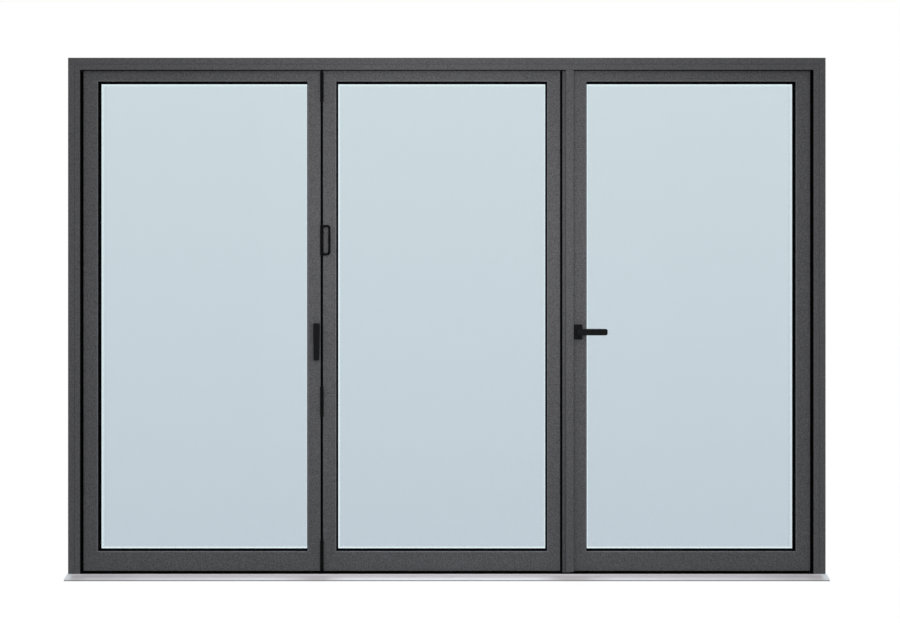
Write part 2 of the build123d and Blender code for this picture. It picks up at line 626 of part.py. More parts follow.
def main():
    """Build every node and write it."""
    os.makedirs("parts", exist_ok=True)
    for name, bar in frame_bars().items():
        save(name, bar)
    for name, solids in threshold_parts().items():
        save(name, *solids)
    for name, seal in upright_seals().items():
        save(name, seal)

    left_leaf = Leaf("left_leaf", LEFT_LEAF_LEFT, LEFT_LEAF_RIGHT, HINGE_STILE, CLOSING_STILE)
    middle_leaf = Leaf(
        "middle_leaf", MIDDLE_LEAF_LEFT, MIDDLE_LEAF_RIGHT, MEETING_STILE, CLOSING_STILE
    )
    door_leaf = Leaf("door_leaf", DOOR_LEAF_LEFT, DOOR_LEAF_RIGHT, LOCK_STILE, HINGE_STILE)
    mullion = meeting_mullion()

    leaf_depth = LEAF_BACK - LEAF_FRONT
    spindle_start = (LEVER_X, LEAF_FRONT - NECK_END_GAP, LEVER_HEIGHT)
    spindle = rod(SPINDLE_RADIUS, spindle_start, leaf_depth + 2 * NECK_END_GAP, "Y")
    bore_start = (LEVER_X, LEAF_FRONT, LEVER_HEIGHT)
    spindle_bore = rod(SPINDLE_RADIUS + BORE_CLEARANCE, bore_start, leaf_depth, "Y")
    plate_y = (LEAF_FRONT + LEAF_BACK) / 2
    plate_half = FACEPLATE_WIDTH / 2
    faceplate = block(
        DOOR_LEAF_LEFT,
        DOOR_LEAF_LEFT + FACEPLATE_THICKNESS,
        plate_y - plate_half,
        plate_y + plate_half,
        LEVER_HEIGHT - FACEPLATE_HEIGHT / 2,
        LEVER_HEIGHT + FACEPLATE_HEIGHT / 2,
    )
    keep = block(
        MULLION_RIGHT - FACEPLATE_THICKNESS,
        MULLION_RIGHT,
        plate_y - plate_half,
        plate_y + plate_half,
        LEVER_HEIGHT - KEEP_HEIGHT / 2,
        LEVER_HEIGHT + KEEP_HEIGHT / 2,
    )

    for leaf in (left_leaf, middle_leaf, door_leaf):
        for part, bar in leaf.bars().items():
            if leaf is door_leaf and part == "left_stile":
                bar = bar - spindle_bore - faceplate
            save(f"{leaf.name}_{part}", bar)
        save(f"{leaf.name}_glass", *leaf.panes())
    save("fold_pair_beads", left_leaf.beads(), middle_leaf.beads())
    save("fold_pair_glazing_seals", *left_leaf.seals(), *middle_leaf.seals())
    save("fold_pair_spacers", left_leaf.spacer(), middle_leaf.spacer())
    save("door_leaf_beads", door_leaf.beads())
    save("door_leaf_glazing_seals", *door_leaf.seals())
    save("door_leaf_spacer", door_leaf.spacer())

    save("meeting_mullion", mullion - keep)
    save("lock_keep", keep)
    save("lock_faceplate", faceplate)
    save("fold_hinges", *[fold_barrel(height) for height in FOLD_HINGE_HEIGHTS])
    save("pull_hinge", fold_barrel(PULL_HINGE_HEIGHT) + pull_loop())

    left_pivot = (JAMB_LEFT_FACE + LEFT_LEAF_LEFT) / 2
    right_pivot = (JAMB_RIGHT_FACE + DOOR_LEAF_RIGHT) / 2
    left_halves = [jamb_hinge(left_pivot, -1, height) for height in JAMB_HINGE_HEIGHTS]
    right_halves = [jamb_hinge(right_pivot, 1, height) for height in JAMB_HINGE_HEIGHTS]
    save("left_jamb_hinge_frames", *[halves[0] for halves in left_halves])
    save("left_leaf_hinges", *[halves[1] for halves in left_halves])
    save("right_jamb_hinge_frames", *[halves[0] for halves in right_halves])
    save("door_leaf_hinges", *[halves[1] for halves in right_halves])

    base, handle = bolt_handle()
    save("bolt_handle_base", base)
    save("bolt_handle", handle)
    save("inside_rose", rose(-1))
    save("outside_rose", rose(1))
    save("inside_lever", lever(-1) + spindle)
    save("outside_lever", lever(1))


main()
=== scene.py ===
"""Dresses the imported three-leaf bi-fold door: its finishes, its fittings and a plain studio.

Lengths are in metres. X runs along the door, Y from the room (-) to the outside (+), Z up.
"""

import logging
import math
from dataclasses import dataclass
from enum import Enum
from typing import Callable, Self, Sequence

import bmesh
import bpy
from mathutils import Matrix, Vector

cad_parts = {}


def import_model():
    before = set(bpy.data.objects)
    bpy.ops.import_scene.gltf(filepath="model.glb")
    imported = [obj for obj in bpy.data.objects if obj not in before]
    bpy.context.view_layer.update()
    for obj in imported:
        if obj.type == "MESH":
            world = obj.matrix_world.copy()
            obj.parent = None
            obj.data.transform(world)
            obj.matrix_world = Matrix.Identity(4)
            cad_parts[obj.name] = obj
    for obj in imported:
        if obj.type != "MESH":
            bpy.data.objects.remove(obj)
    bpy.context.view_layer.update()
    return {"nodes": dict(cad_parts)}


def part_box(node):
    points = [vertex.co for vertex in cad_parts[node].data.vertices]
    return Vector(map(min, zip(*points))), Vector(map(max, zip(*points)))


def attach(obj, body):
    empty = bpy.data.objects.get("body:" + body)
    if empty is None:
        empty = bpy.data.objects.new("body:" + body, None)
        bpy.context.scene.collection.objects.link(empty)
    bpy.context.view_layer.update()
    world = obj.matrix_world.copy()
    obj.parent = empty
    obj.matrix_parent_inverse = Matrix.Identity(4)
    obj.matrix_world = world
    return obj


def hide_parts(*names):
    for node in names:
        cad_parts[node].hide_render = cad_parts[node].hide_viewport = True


LOG = logging.getLogger("bifold_door")

Point = tuple[float, float, float]
Colour = tuple[float, float, float, float]
Span = tuple[float, float]
Place = Sequence[float]
Test = Callable[[Vector, Vector], bool]
Thing = bpy.types.Object
Socket = bpy.types.NodeSocket
Tree = bpy.types.NodeTree
Material = bpy.types.Material

# Two places closer than this are one place.
NEAR = 0.00005
# Shares of a direction that count as along an axis and as square to it.
MOSTLY = 0.9
BARELY = 0.01
# Angles in degrees up to which two faces shade as one.
SMOOTH = 35.0
SMOOTH_RUBBER = 60.0
SMOOTH_SCREW = 30.0
# Where nearly all values of a noise lie.
MOST_NOISE = (0.3, 0.7)
WHITE = (1.0, 1.0, 1.0, 1.0)
UNSCALED = (1.0, 1.0, 1.0)
UPRIGHT = (math.pi / 2, 0.0, 0.0)
FLAT = (0.0, 0.0, 0.0)
# How a cylinder is turned to run along each axis, or a plane to be square to it.
TURNS = {"x": (0.0, math.pi / 2, 0.0), "y": UPRIGHT, "z": FLAT}


class Body(Enum):
    """The bodies that pieces ride on."""

    FRAME = "frame"
    LEAF = "traffic_leaf"
    LEVER = "door_lever"
    GRIP = "bolt_grip"


class Finish(Enum):
    """The finishes, each with the record's material slot."""

    COATING = "grey_coating"
    BEADS = "bead_coating"
    FITTINGS = "black_fittings"
    BARRELS = "barrel_paint"
    RUBBER = "black_rubber"
    MAT = "ribbed_mat"
    ALUMINIUM = "satin_aluminium"
    LOCK_STEEL = "lock_steel"
    SPACER = "spacer_bar"
    GLASS = "glass"

    @property
    def slot(self) -> str:
        """The record's slot that the finish belongs to."""
        return SHARED_SLOTS.get(self, self).value


SHARED_SLOTS = {
    Finish.MAT: Finish.RUBBER,
    Finish.BEADS: Finish.COATING,
    Finish.BARRELS: Finish.FITTINGS,
}


class Side(Enum):
    """The two faces of the door, with their direction along Y."""

    ROOM = -1
    OUTSIDE = 1

    @property
    def word(self) -> str:
        """The side's word in the names of CAD nodes."""
        return "inside" if self is Side.ROOM else "outside"

    @property
    def other(self) -> "Side":
        """The opposite side."""
        return Side(-self.value)


class Measure(Enum):
    """What a layer of painted light or painted shade on the ramp follows."""

    ACROSS = "place along Y"
    OFF_MIDDLE = "distance along X from the middle"
    FACING = "direction of the face along Y"


class NodeSheet:
    """Adds shader nodes to one tree and wires them."""

    def __init__(self, tree: Tree) -> None:
        """Start with an empty tree.

        Args:
            tree: The material's, world's or group's node tree.
        """
        tree.nodes.clear()
        self.tree = tree

    def put(self, target: Socket, value: object) -> None:
        """Link a socket to an input, or set the input to a value.

        Args:
            target: The input.
            value: The socket or the value.
        """
        if isinstance(value, Socket):
            self.tree.links.new(value, target)
        else:
            target.default_value = value

    def add(self, kind: str, inputs: dict | None = None, **settings: object) -> bpy.types.Node:
        """Add one node.

        Args:
            kind: The node's class name without "ShaderNode".
            inputs: For each input name or number, a socket to link or a value to set.
            settings: Properties of the node.

        Returns:
            The new node.
        """
        prefix = "" if kind.startswith("NodeGroup") else "ShaderNode"
        node = self.tree.nodes.new(prefix + kind)
        for name, value in settings.items():
            setattr(node, name, value)
        for key, value in (inputs or {}).items():
            self.put(node.inputs[key], value)
        return node

    def math(self, operation: str, *values: object) -> Socket:
        """Work out one number from sockets or values.

        Args:
            operation: The operation.
            values: What it works on; more than two are taken up one after another.

        Returns:
            The result.
        """
        if len(values) > 2:
            values = (self.math(operation, *values[:-1]), values[-1])
        return self.add("Math", dict(enumerate(values)), operation=operation).outputs[0]

    def distance(self, first: object, second: object) -> Socket:
        """Find how far two numbers lie apart."""
        return self.math("ABSOLUTE", self.math("SUBTRACT", first, second))

    def about_one(self, swing: Socket) -> tuple[Socket, Socket]:
        """Find one less a swing, and one more than it."""
        return self.math("SUBTRACT", 1.0, swing), self.math("ADD", 1.0, swing)

    def scaled(self, colour: object, share: Socket) -> Socket:
        """Make a colour lighter or darker by a share."""
        inputs = {0: colour, "Scale": share}
        return self.add("VectorMath", inputs, operation="SCALE").outputs[0]

    def spread(self, value: Socket, source: Sequence, target: Sequence = (0.0, 1.0)) -> Socket:
        """Map a value from one range to another, clamped.

        Args:
            value: The socket to map.
            source: The two ends of its range.
            target: The two ends of the range that comes out, as sockets or values.

        Returns:
            The mapped value.
        """
        ends = {"Value": value, "From Min": source[0], "From Max": source[1]}
        ends |= {"To Min": target[0], "To Max": target[1]}
        return self.add("MapRange", ends).outputs[0]

    def blend(self, factor: object, first: object, second: object) -> Socket:
        """Mix two colours."""
        return self.add("Mix", {0: factor, 6: first, 7: second}, data_type="RGBA").outputs[2]

    def mix(self, factor: Socket, first: Socket, second: Socket) -> Socket:
        """Mix two shaders."""
        return self.add("MixShader", {0: factor, 1: first, 2: second}).outputs[0]

    def noise(self, scale: object, detail: float, where: Socket | None = None) -> Socket:
        """Make noise over object coordinates, or over the coordinates given."""
        inputs = {"Vector": where or self.place(), "Scale": scale, "Detail": detail}
        return self.add("TexNoise", inputs).outputs[0]

    def place(self, output: str = "Object") -> Socket:
        """Find the object coordinates, or the normal."""
        return self.add("TexCoord").outputs[output]

    def axes(self, output: str = "Object") -> Sequence[Socket]:
        """Split the object coordinates, or the normal, into X, Y and Z."""
        return self.add("SeparateXYZ", {0: self.place(output)}).outputs

    def bump(self, height: Socket, strength: float, depth: float) -> Socket:
        """Turn a height into a normal."""
        inputs = {"Height": height, "Strength": strength, "Distance": depth}
        return self.add("Bump", inputs).outputs[0]

    def group(self, tree: Tree, **values: object) -> Sequence[Socket]:
        """Place a node group, its inputs named with underscores for spaces."""
        inputs = {name.replace("_", " "): value for name, value in values.items()}
        return self.add("Group", inputs, node_tree=tree).outputs


class MaterialSheet(NodeSheet):
    """The node sheet of a new material."""

    def __init__(self, name: str) -> None:
        """Make the material, with nothing in its tree.

        Args:
            name: The material's name.
        """
        self.material = bpy.data.materials.new(name)
        self.material.use_nodes = True
        super().__init__(self.material.node_tree)

    def show(self, result: Socket) -> Material:
        """Wire the output and hand over the material."""
        self.add("OutputMaterial", {"Surface": result})
        return self.material


class GroupSheet(NodeSheet):
    """The node sheet of a new node group that several finishes share."""

    def __init__(self, name: str, inputs: dict[str, object], outputs: Sequence[str]) -> None:
        """Make the group's tree with its named sockets.

        Args:
            name: The group's name.
            inputs: Each input's name and default; its kind follows from the default.
            outputs: Names of the outputs; one named Color is a colour, the rest are numbers.
        """
        super().__init__(bpy.data.node_groups.new(name, "ShaderNodeTree"))
        make = self.tree.interface.new_socket
        for label, value in inputs.items():
            kind = "Float"
            if isinstance(value, tuple):
                kind = "Color" if len(value) == 4 else "Vector"
            socket = make(label, in_out="INPUT", socket_type=f"NodeSocket{kind}")
            socket.default_value = value
        for label in outputs:
            kind = "Color" if label == "Color" else "Float"
            make(label, in_out="OUTPUT", socket_type=f"NodeSocket{kind}")
        self.given = self.add("NodeGroupInput").outputs

    def give(self, **results: Socket) -> Tree:
        """Wire the outputs, by name, and hand over the group."""
        self.add("NodeGroupOutput", results)
        return self.tree


@dataclass
class Effects:
    """The shared effects, as node groups."""

    grain: Tree
    edge_catch: Tree
    brushed: Tree
    dust: Tree
    field: Tree

    @classmethod
    def build(cls) -> "Effects":
        """Make every shared group once."""
        return cls(
            cls.make_grain(),
            cls.make_edge_catch(),
            cls.make_brushed(),
            cls.make_dust(),
            cls.make_field(),
        )

    @staticmethod
    def make_grain() -> Tree:
        """Make fine grain and slow patches over a colour, with the grain as a height.

        Returns:
            The group.
        """
        inputs = {"Base": WHITE, "Grain Scale": 200.0, "Grain": 0.1, "Patches": 0.05}
        sheet = GroupSheet("surface_grain", inputs, ("Color", "Height"))
        given = sheet.given
        fine = sheet.noise(given["Grain Scale"], 3.0)
        slow = sheet.noise(2.3, 2.0)
        speck = sheet.spread(fine, (0.36, 0.64), sheet.about_one(given["Grain"]))
        patch = sheet.spread(slow, MOST_NOISE, sheet.about_one(given["Patches"]))
        colour = sheet.scaled(given["Base"], sheet.math("MULTIPLY", speck, patch))
        return sheet.give(Color=colour, Height=fine)

    @staticmethod
    def make_edge_catch() -> Tree:
        """Find where a small bevel turns between two square faces, for a painted highlight on the
        coat and rubbed paint on the fittings.

        Returns:
            The group.
        """
        sheet = GroupSheet("edge_catch", {"Strength": 0.5, "Break Up": 0.5}, ("Mask",))
        turned = sheet.add("VectorMath", {0: sheet.place("Normal")}, operation="ABSOLUTE")
        parts = sheet.add("SeparateXYZ", {0: turned.outputs[0]}).outputs
        bevel = sheet.spread(sheet.math("MAXIMUM", *parts), (0.97, 0.82))
        broken = sheet.spread(sheet.noise(95.0, 2.0), (0.42, 0.58))
        lost = sheet.math("MULTIPLY", sheet.given["Break Up"], broken)
        kept = sheet.math("SUBTRACT", 1.0, lost)
        return sheet.give(Mask=sheet.math("MULTIPLY", bevel, kept, sheet.given["Strength"]))

    @staticmethod
    def make_brushed() -> Tree:
        """Make long fine lines drawn out along one direction.

        Returns:
            The group.
        """
        inputs = {"Stretch": (4.0, 900.0, 900.0), "Contrast": 0.1}
        sheet = GroupSheet("brushed_lines", inputs, ("Value", "Height"))
        where = sheet.add("Mapping", {0: sheet.place(), "Scale": sheet.given["Stretch"]})
        lines = sheet.noise(1.0, 4.0, where.outputs[0])
        value = sheet.spread(lines, MOST_NOISE, sheet.about_one(sheet.given["Contrast"]))
        return sheet.give(Value=value, Height=lines)

    @staticmethod
    def make_dust() -> Tree:
        """Settle thin dust on faces that look up.

        Returns:
            The group.
        """
        sheet = GroupSheet("settled_dust", {"Amount": 0.2}, ("Mask",))
        level = sheet.spread(sheet.axes("Normal")[2], (0.75, 0.98))
        clouds = sheet.spread(sheet.noise(14.0, 6.0), (0.38, 0.66), (0.1, 1.0))
        return sheet.give(Mask=sheet.math("MULTIPLY", level, clouds, sheet.given["Amount"]))

    @staticmethod
    def make_field() -> Tree:
        """Mark a rectangle seen along Y, with a soft border inside it.

        Returns:
            The group.
        """
        inputs = {"Left": -1.0, "Right": 1.0, "Bottom": 0.0, "Top": 1.0, "Border": 0.001}
        sheet = GroupSheet("coated_field", inputs, ("Mask",))
        x, _, z = sheet.axes()
        left, right, bottom, top, border = sheet.given[:5]
        pairs = ((x, left), (right, x), (z, bottom), (top, z))
        nearest = sheet.math("MINIMUM", *[sheet.math("SUBTRACT", a, b) for a, b in pairs])
        return sheet.give(Mask=sheet.spread(nearest, (0.0, border)))


@dataclass(frozen=True)
class SurfaceFinish:
    """What every finish has: a name, a colour and a plain gloss."""

    name: str
    colour: Colour
    roughness: float
    specular: float

    def layers(self, sheet: NodeSheet, effects: Effects) -> dict[str, object]:
        """Lay what the finish adds to its plain colour and gloss: nothing yet."""
        return {}

    def surface(self, sheet: NodeSheet, shaded: Socket) -> Socket:
        """Leave the shader as it is."""
        return shaded

    def build(self, effects: Effects) -> Material:
        """Make the material.

        Args:
            effects: The shared effects.

        Returns:
            The material.
        """
        sheet = MaterialSheet(self.name)
        plain = {"Base Color": self.colour, "Roughness": self.roughness}
        shader = sheet.add("BsdfPrincipled", plain | {"Specular IOR Level": self.specular})
        for name, value in self.layers(sheet, effects).items():
            sheet.put(shader.inputs[name], value)
        return sheet.show(self.surface(sheet, shader.outputs[0]))


@dataclass(frozen=True)
class PowderCoat(SurfaceFinish):
    """Dark grey textured powder coat of the aluminium bars."""

    edge_colour: Colour = (0.155, 0.17, 0.19, 1.0)
    dust_colour: Colour = (0.2, 0.2, 0.2, 1.0)
    gloss_swing: float = 0.06

    def layers(self, sheet: NodeSheet, effects: Effects) -> dict[str, object]:
        """Lay grain, patches, a painted highlight on the bevels and a little dust.

        Args:
            sheet: The material's node sheet.
            effects: The shared effects.

        Returns:
            What goes into the shader's inputs.
        """
        look = {"Grain_Scale": 230.0, "Grain": 0.34, "Patches": 0.03}
        grain = sheet.group(effects.grain, Base=self.colour, **look)
        catch = sheet.group(effects.edge_catch, Strength=0.55, Break_Up=0.6)
        dust = sheet.group(effects.dust, Amount=0.12)
        # Painted highlight: the bevels are coloured lighter.
        colour = sheet.blend(catch["Mask"], grain["Color"], self.edge_colour)
        colour = sheet.blend(dust["Mask"], colour, self.dust_colour)
        pits = sheet.noise(1500.0, 2.0)
        gloss = (self.roughness - self.gloss_swing, self.roughness + self.gloss_swing)
        rough = sheet.spread(pits, MOST_NOISE, gloss)
        relief = sheet.bump(pits, 0.25, 0.0002)
        return {"Base Color": colour, "Roughness": rough, "Normal": relief}


@dataclass(frozen=True)
class PaintedFitting(SurfaceFinish):
    """Satin black paint of hinges, handles and screws."""

    worn_colour: Colour = (0.03, 0.031, 0.034, 1.0)

    def layers(self, sheet: NodeSheet, effects: Effects) -> dict[str, object]:
        """Lay orange-peel relief, handling sheen and slightly rubbed bevels.

        Args:
            sheet: The material's node sheet.
            effects: The shared effects.

        Returns:
            What goes into the shader's inputs.
        """
        look = {"Grain_Scale": 420.0, "Grain": 0.14, "Patches": 0.08}
        grain = sheet.group(effects.grain, Base=self.colour, **look)
        catch = sheet.group(effects.edge_catch, Strength=0.35, Break_Up=0.8)
        colour = sheet.blend(catch["Mask"], grain["Color"], self.worn_colour)
        handled = sheet.noise(38.0, 3.0)
        gloss = (self.roughness - 0.07, self.roughness + 0.08)
        rough = sheet.spread(handled, (0.35, 0.65), gloss)
        relief = sheet.bump(grain["Height"], 0.2, 0.0002)
        return {"Base Color": colour, "Roughness": rough, "Normal": relief}


@dataclass(frozen=True)
class Rubber(SurfaceFinish):
    """Matt black seal rubber, or the ribbed mat on the threshold."""

    rib_pitch: float = 0.0
    dust: float = 0.03
    dust_colour: Colour = (0.08, 0.078, 0.075, 1.0)

    def layers(self, sheet: NodeSheet, effects: Effects) -> dict[str, object]:
        """Lay bloom in patches, and ribs along the door on the mat.

        Args:
            sheet: The material's node sheet.
            effects: The shared effects.

        Returns:
            What goes into the shader's inputs.
        """
        look = {"Grain_Scale": 300.0, "Grain": 0.2, "Patches": 0.25}
        grain = sheet.group(effects.grain, Base=self.colour, **look)
        dust = sheet.group(effects.dust, Amount=self.dust)
        colour = sheet.blend(dust["Mask"], grain["Color"], self.dust_colour)
        relief = sheet.bump(grain["Height"], 0.15, 0.0003)
        if self.rib_pitch:
            turn = sheet.math("MULTIPLY", sheet.axes()[1], math.tau / self.rib_pitch)
            ribs = sheet.spread(sheet.math("SINE", turn), (-0.4, 0.4))
            relief = sheet.bump(ribs, 0.9, 0.0006)
        return {"Base Color": colour, "Normal": relief}


@dataclass(frozen=True)
class WearLayer:
    """One layer of painted light or painted shade: what it follows, over which reach, how strongly,
    and its colour.
    """

    follows: Measure
    reach: Span
    shares: Span
    colour: Colour


# Painted light and shade on the ramp: lighter by the leaves, against the shade they cast; a painted
# highlight on the front facet; painted shade towards the ends; a painted highlight at the very
# ends; and painted shade on the nose that faces the room.
RAMP_PAINTED_LIGHT = (
    WearLayer(Measure.ACROSS, (-0.041, -0.054), (1.0, 0.0), (0.96, 0.93, 0.96, 1.0)),
    WearLayer(Measure.ACROSS, (-0.0605, -0.0635), (0.0, 0.25), (0.93, 0.96, 0.98, 1.0)),
    WearLayer(Measure.OFF_MIDDLE, (1.2, 1.36), (0.0, 0.22), (0.3, 0.29, 0.3, 1.0)),
    WearLayer(Measure.OFF_MIDDLE, (1.474, 1.488), (0.0, 0.85), (0.84, 0.9, 0.94, 1.0)),
    WearLayer(Measure.FACING, (-0.8, -0.95), (0.0, 0.75), (0.2, 0.2, 0.205, 1.0)),
)


@dataclass(frozen=True)
class BrushedMetal(SurfaceFinish):
    """Bare metal with fine lines along one direction."""

    stretch: Point = (4.0, 900.0, 900.0)
    metallic: float = 1.0
    contrast: float = 0.06
    dust_colour: Colour = (0.5, 0.49, 0.49, 1.0)
    wear: Sequence[WearLayer] = ()

    def layers(self, sheet: NodeSheet, effects: Effects) -> dict[str, object]:
        """Lay drawn lines in colour, gloss and relief, a little dust and any painted light and
        shade.

        Args:
            sheet: The material's node sheet.
            effects: The shared effects.

        Returns:
            What goes into the shader's inputs.
        """
        lines = sheet.group(effects.brushed, Stretch=self.stretch, Contrast=self.contrast)
        dust = sheet.group(effects.dust, Amount=0.12)
        colour = sheet.scaled(self.colour[:3], lines["Value"])
        colour = sheet.blend(dust["Mask"], colour, self.dust_colour)
        if self.wear:
            colour = self.worn(sheet, colour)
        gloss = (self.roughness - 0.05, self.roughness + 0.08)
        rough = sheet.spread(lines["Height"], MOST_NOISE, gloss)
        relief = sheet.bump(lines["Height"], 0.12, 0.0002)
        coat = {"Base Color": colour, "Roughness": rough, "Normal": relief}
        return {"Metallic": self.metallic} | coat

    def worn(self, sheet: NodeSheet, colour: Socket) -> Socket:
        """Lay the painted light and shade over a colour.

        Args:
            sheet: The material's node sheet.
            colour: The colour so far.

        Returns:
            The colour with all the painted light and shade added.
        """
        x, y, _ = sheet.axes()
        measures = {
            Measure.ACROSS: y,
            Measure.OFF_MIDDLE: sheet.math("ABSOLUTE", x),
            Measure.FACING: sheet.axes("Normal")[1],
        }
        for layer in self.wear:
            share = sheet.spread(measures[layer.follows], layer.reach, layer.shares)
            colour = sheet.blend(share, colour, layer.colour)
        return colour


@dataclass(frozen=True)
class SpacerBar(SurfaceFinish):
    """Light aluminium spacer between the panes, with two rows of fine slots."""

    pitch: float = 0.004
    middle: float = 0.017
    row_offset: float = 0.004
    slot_half_width: Span = (0.0005, 0.0003)
    slot_colour: Colour = (0.03, 0.03, 0.03, 1.0)

    def layers(self, sheet: NodeSheet, effects: Effects) -> dict[str, object]:
        """Lay lines along the spacer and dark slots in two rows.

        Args:
            sheet: The material's node sheet.
            effects: The shared effects.

        Returns:
            What goes into the shader's inputs.
        """
        x, y, z = sheet.axes()
        turn = sheet.math("MULTIPLY", sheet.math("ADD", x, z), math.tau / self.pitch)
        slot = sheet.spread(sheet.math("COSINE", turn), (0.2, 0.5))
        off_row = sheet.distance(sheet.distance(y, self.middle), self.row_offset)
        row = sheet.spread(off_row, self.slot_half_width)
        lines = sheet.group(effects.brushed, Stretch=(5.0, 700.0, 5.0), Contrast=0.05)
        metal = sheet.scaled(self.colour[:3], lines["Value"])
        colour = sheet.blend(sheet.math("MULTIPLY", slot, row), metal, self.slot_colour)
        return {"Metallic": 0.6, "Base Color": colour}


@dataclass(frozen=True)
class TintedGlass(SurfaceFinish):
    """Clear double glazing with a cool tint, darkened towards the floor by painted shade and
    lightened along its edges by painted light.
    """

    low_colour: Colour = (0.7135, 0.768, 0.809, 1.0)
    bare_colour: Colour = (0.905, 0.98, 1.0, 1.0)
    shadow_colour: Colour = (0.85, 0.88, 0.9, 1.0)
    tinted_z: Span = (0.1, 1.97)
    coated_z: Span = (0.1155, 1.9637)
    coated_x: Sequence[Span] = ((-1.3775, -0.5609), (-0.4302, 0.3915), (0.5633, 1.3790))

    def layers(self, sheet: NodeSheet, effects: Effects) -> dict[str, object]:
        """Lay the tint with its painted shade, short of a lighter strip of painted light along the
        edges.

        Args:
            sheet: The material's node sheet.
            effects: The shared effects.

        Returns:
            What goes into the shader's inputs.
        """
        # Painted shade: the tint darkens towards the floor.
        share = sheet.spread(sheet.axes()[2], self.tinted_z)
        tint = sheet.blend(share, self.low_colour, self.colour)
        bottom, top = self.coated_z
        panes = [
            sheet.group(effects.field, Left=left, Right=right, Bottom=bottom, Top=top)["Mask"]
            for left, right in self.coated_x
        ]
        # Painted light: a lighter strip along the glass edges, against the shade by the frame.
        colour = sheet.blend(sheet.math("MAXIMUM", *panes), self.bare_colour, tint)
        return {"Transmission Weight": 1.0, "IOR": 1.45, "Base Color": colour}

    def surface(self, sheet: NodeSheet, shaded: Socket) -> Socket:
        """Let light through the glass, so that it casts hardly any shadow.

        Args:
            sheet: The material's node sheet.
            shaded: The glass shader.

        Returns:
            The shader with a clear one in its place for shadow rays.
        """
        shadow = sheet.add("LightPath").outputs["Is Shadow Ray"]
        clear = sheet.add("BsdfTransparent", {"Color": self.shadow_colour})
        return sheet.mix(shadow, shaded, clear.outputs[0])


# Each finish with its name, colour, roughness and share of reflection.
FINISHES = {
    Finish.COATING: PowderCoat("dark_grey_powder_coat", (0.0815, 0.0815, 0.087, 1.0), 0.5, 0.22),
    # The beads' coat is the bars' coat painted lighter: a painted highlight on their bevelled
    # faces.
    Finish.BEADS: PowderCoat("grey_bead_coat", (0.108, 0.108, 0.114, 1.0), 0.46, 0.3),
    Finish.FITTINGS: PaintedFitting(
        "satin_black_paint", (0.0062, 0.0064, 0.007, 1.0), 0.42, 0.07
    ),
    Finish.BARRELS: PaintedFitting(
        "black_barrel_paint", (0.0024, 0.0025, 0.0028, 1.0), 0.5, 0.03
    ),
    Finish.RUBBER: Rubber("matt_black_rubber", (0.0022, 0.0022, 0.0024, 1.0), 0.75, 0.02),
    Finish.MAT: Rubber(
        "ribbed_black_mat", (0.003, 0.003, 0.0032, 1.0), 0.7, 0.03, rib_pitch=0.0035, dust=0.1
    ),
    # The ramp's aluminium carries painted light and painted shade in layers.
    Finish.ALUMINIUM: BrushedMetal(
        "satin_aluminium", (0.73, 0.69, 0.72, 1.0), 0.42, 0.4, metallic=0.1, wear=RAMP_PAINTED_LIGHT
    ),
    Finish.LOCK_STEEL: BrushedMetal(
        "brushed_lock_steel", (0.5, 0.5, 0.51, 1.0), 0.3, 0.5, stretch=(900.0, 900.0, 6.0)
    ),
    Finish.SPACER: SpacerBar("perforated_spacer", (0.62, 0.66, 0.68, 1.0), 0.45, 0.4),
    Finish.GLASS: TintedGlass("cool_double_glazing", (0.767, 0.83, 0.853, 1.0), 0.0, 0.5),
}


class Palette:
    """All the finishes, ready to dress CAD nodes and new pieces."""

    def __init__(self, nodes: dict[str, Thing]) -> None:
        """Build every material once.

        Args:
            nodes: The CAD nodes by name.
        """
        effects = Effects.build()
        self.nodes = nodes
        self.materials = {finish: look.build(effects) for finish, look in FINISHES.items()}

    def dress(self, finish: Finish, *names: str) -> None:
        """Give CAD nodes a finish.

        Args:
            finish: The finish.
            names: The nodes.
        """
        for name in names:
            for slot in self.nodes[name].material_slots:
                slot.material = self.materials[finish]
            LOG.info("dressed %s in %s", name, finish.value)


def at(axis: str, value: float) -> Test:
    """Make a test for what lies at one value of an axis."""
    return lambda mid, way: abs(getattr(mid, axis) - value) < NEAR


def ends(axis: str, middle: float, reach: float) -> Test:
    """Make a test for what lies at one distance from a middle, on either side."""
    return lambda mid, way: abs(abs(getattr(mid, axis) - middle) - reach) < NEAR


def along(axis: str) -> Test:
    """Make a test for edges along an axis, or for faces square to it."""
    return lambda mid, way: abs(getattr(way, axis)) > MOSTLY


def across(axis: str) -> Test:
    """Make a test for edges square to an axis."""
    return lambda mid, way: abs(getattr(way, axis)) < BARELY


def clear_selection() -> None:
    """Deselect everything, so that an operator acts on the new object alone."""
    bpy.ops.object.select_all(action="DESELECT")


def select_only(*objects: Thing) -> None:
    """Select some objects and make the first of them active.

    Args:
        objects: The objects.
    """
    clear_selection()
    for obj in objects:
        obj.select_set(True)
    bpy.context.view_layer.objects.active = objects[0]


def edge_line(edge: bmesh.types.BMEdge) -> tuple[Vector, Vector]:
    """Find an edge's middle and direction."""
    a, b = (corner.co for corner in edge.verts)
    return (a + b) / 2, (b - a).normalized()


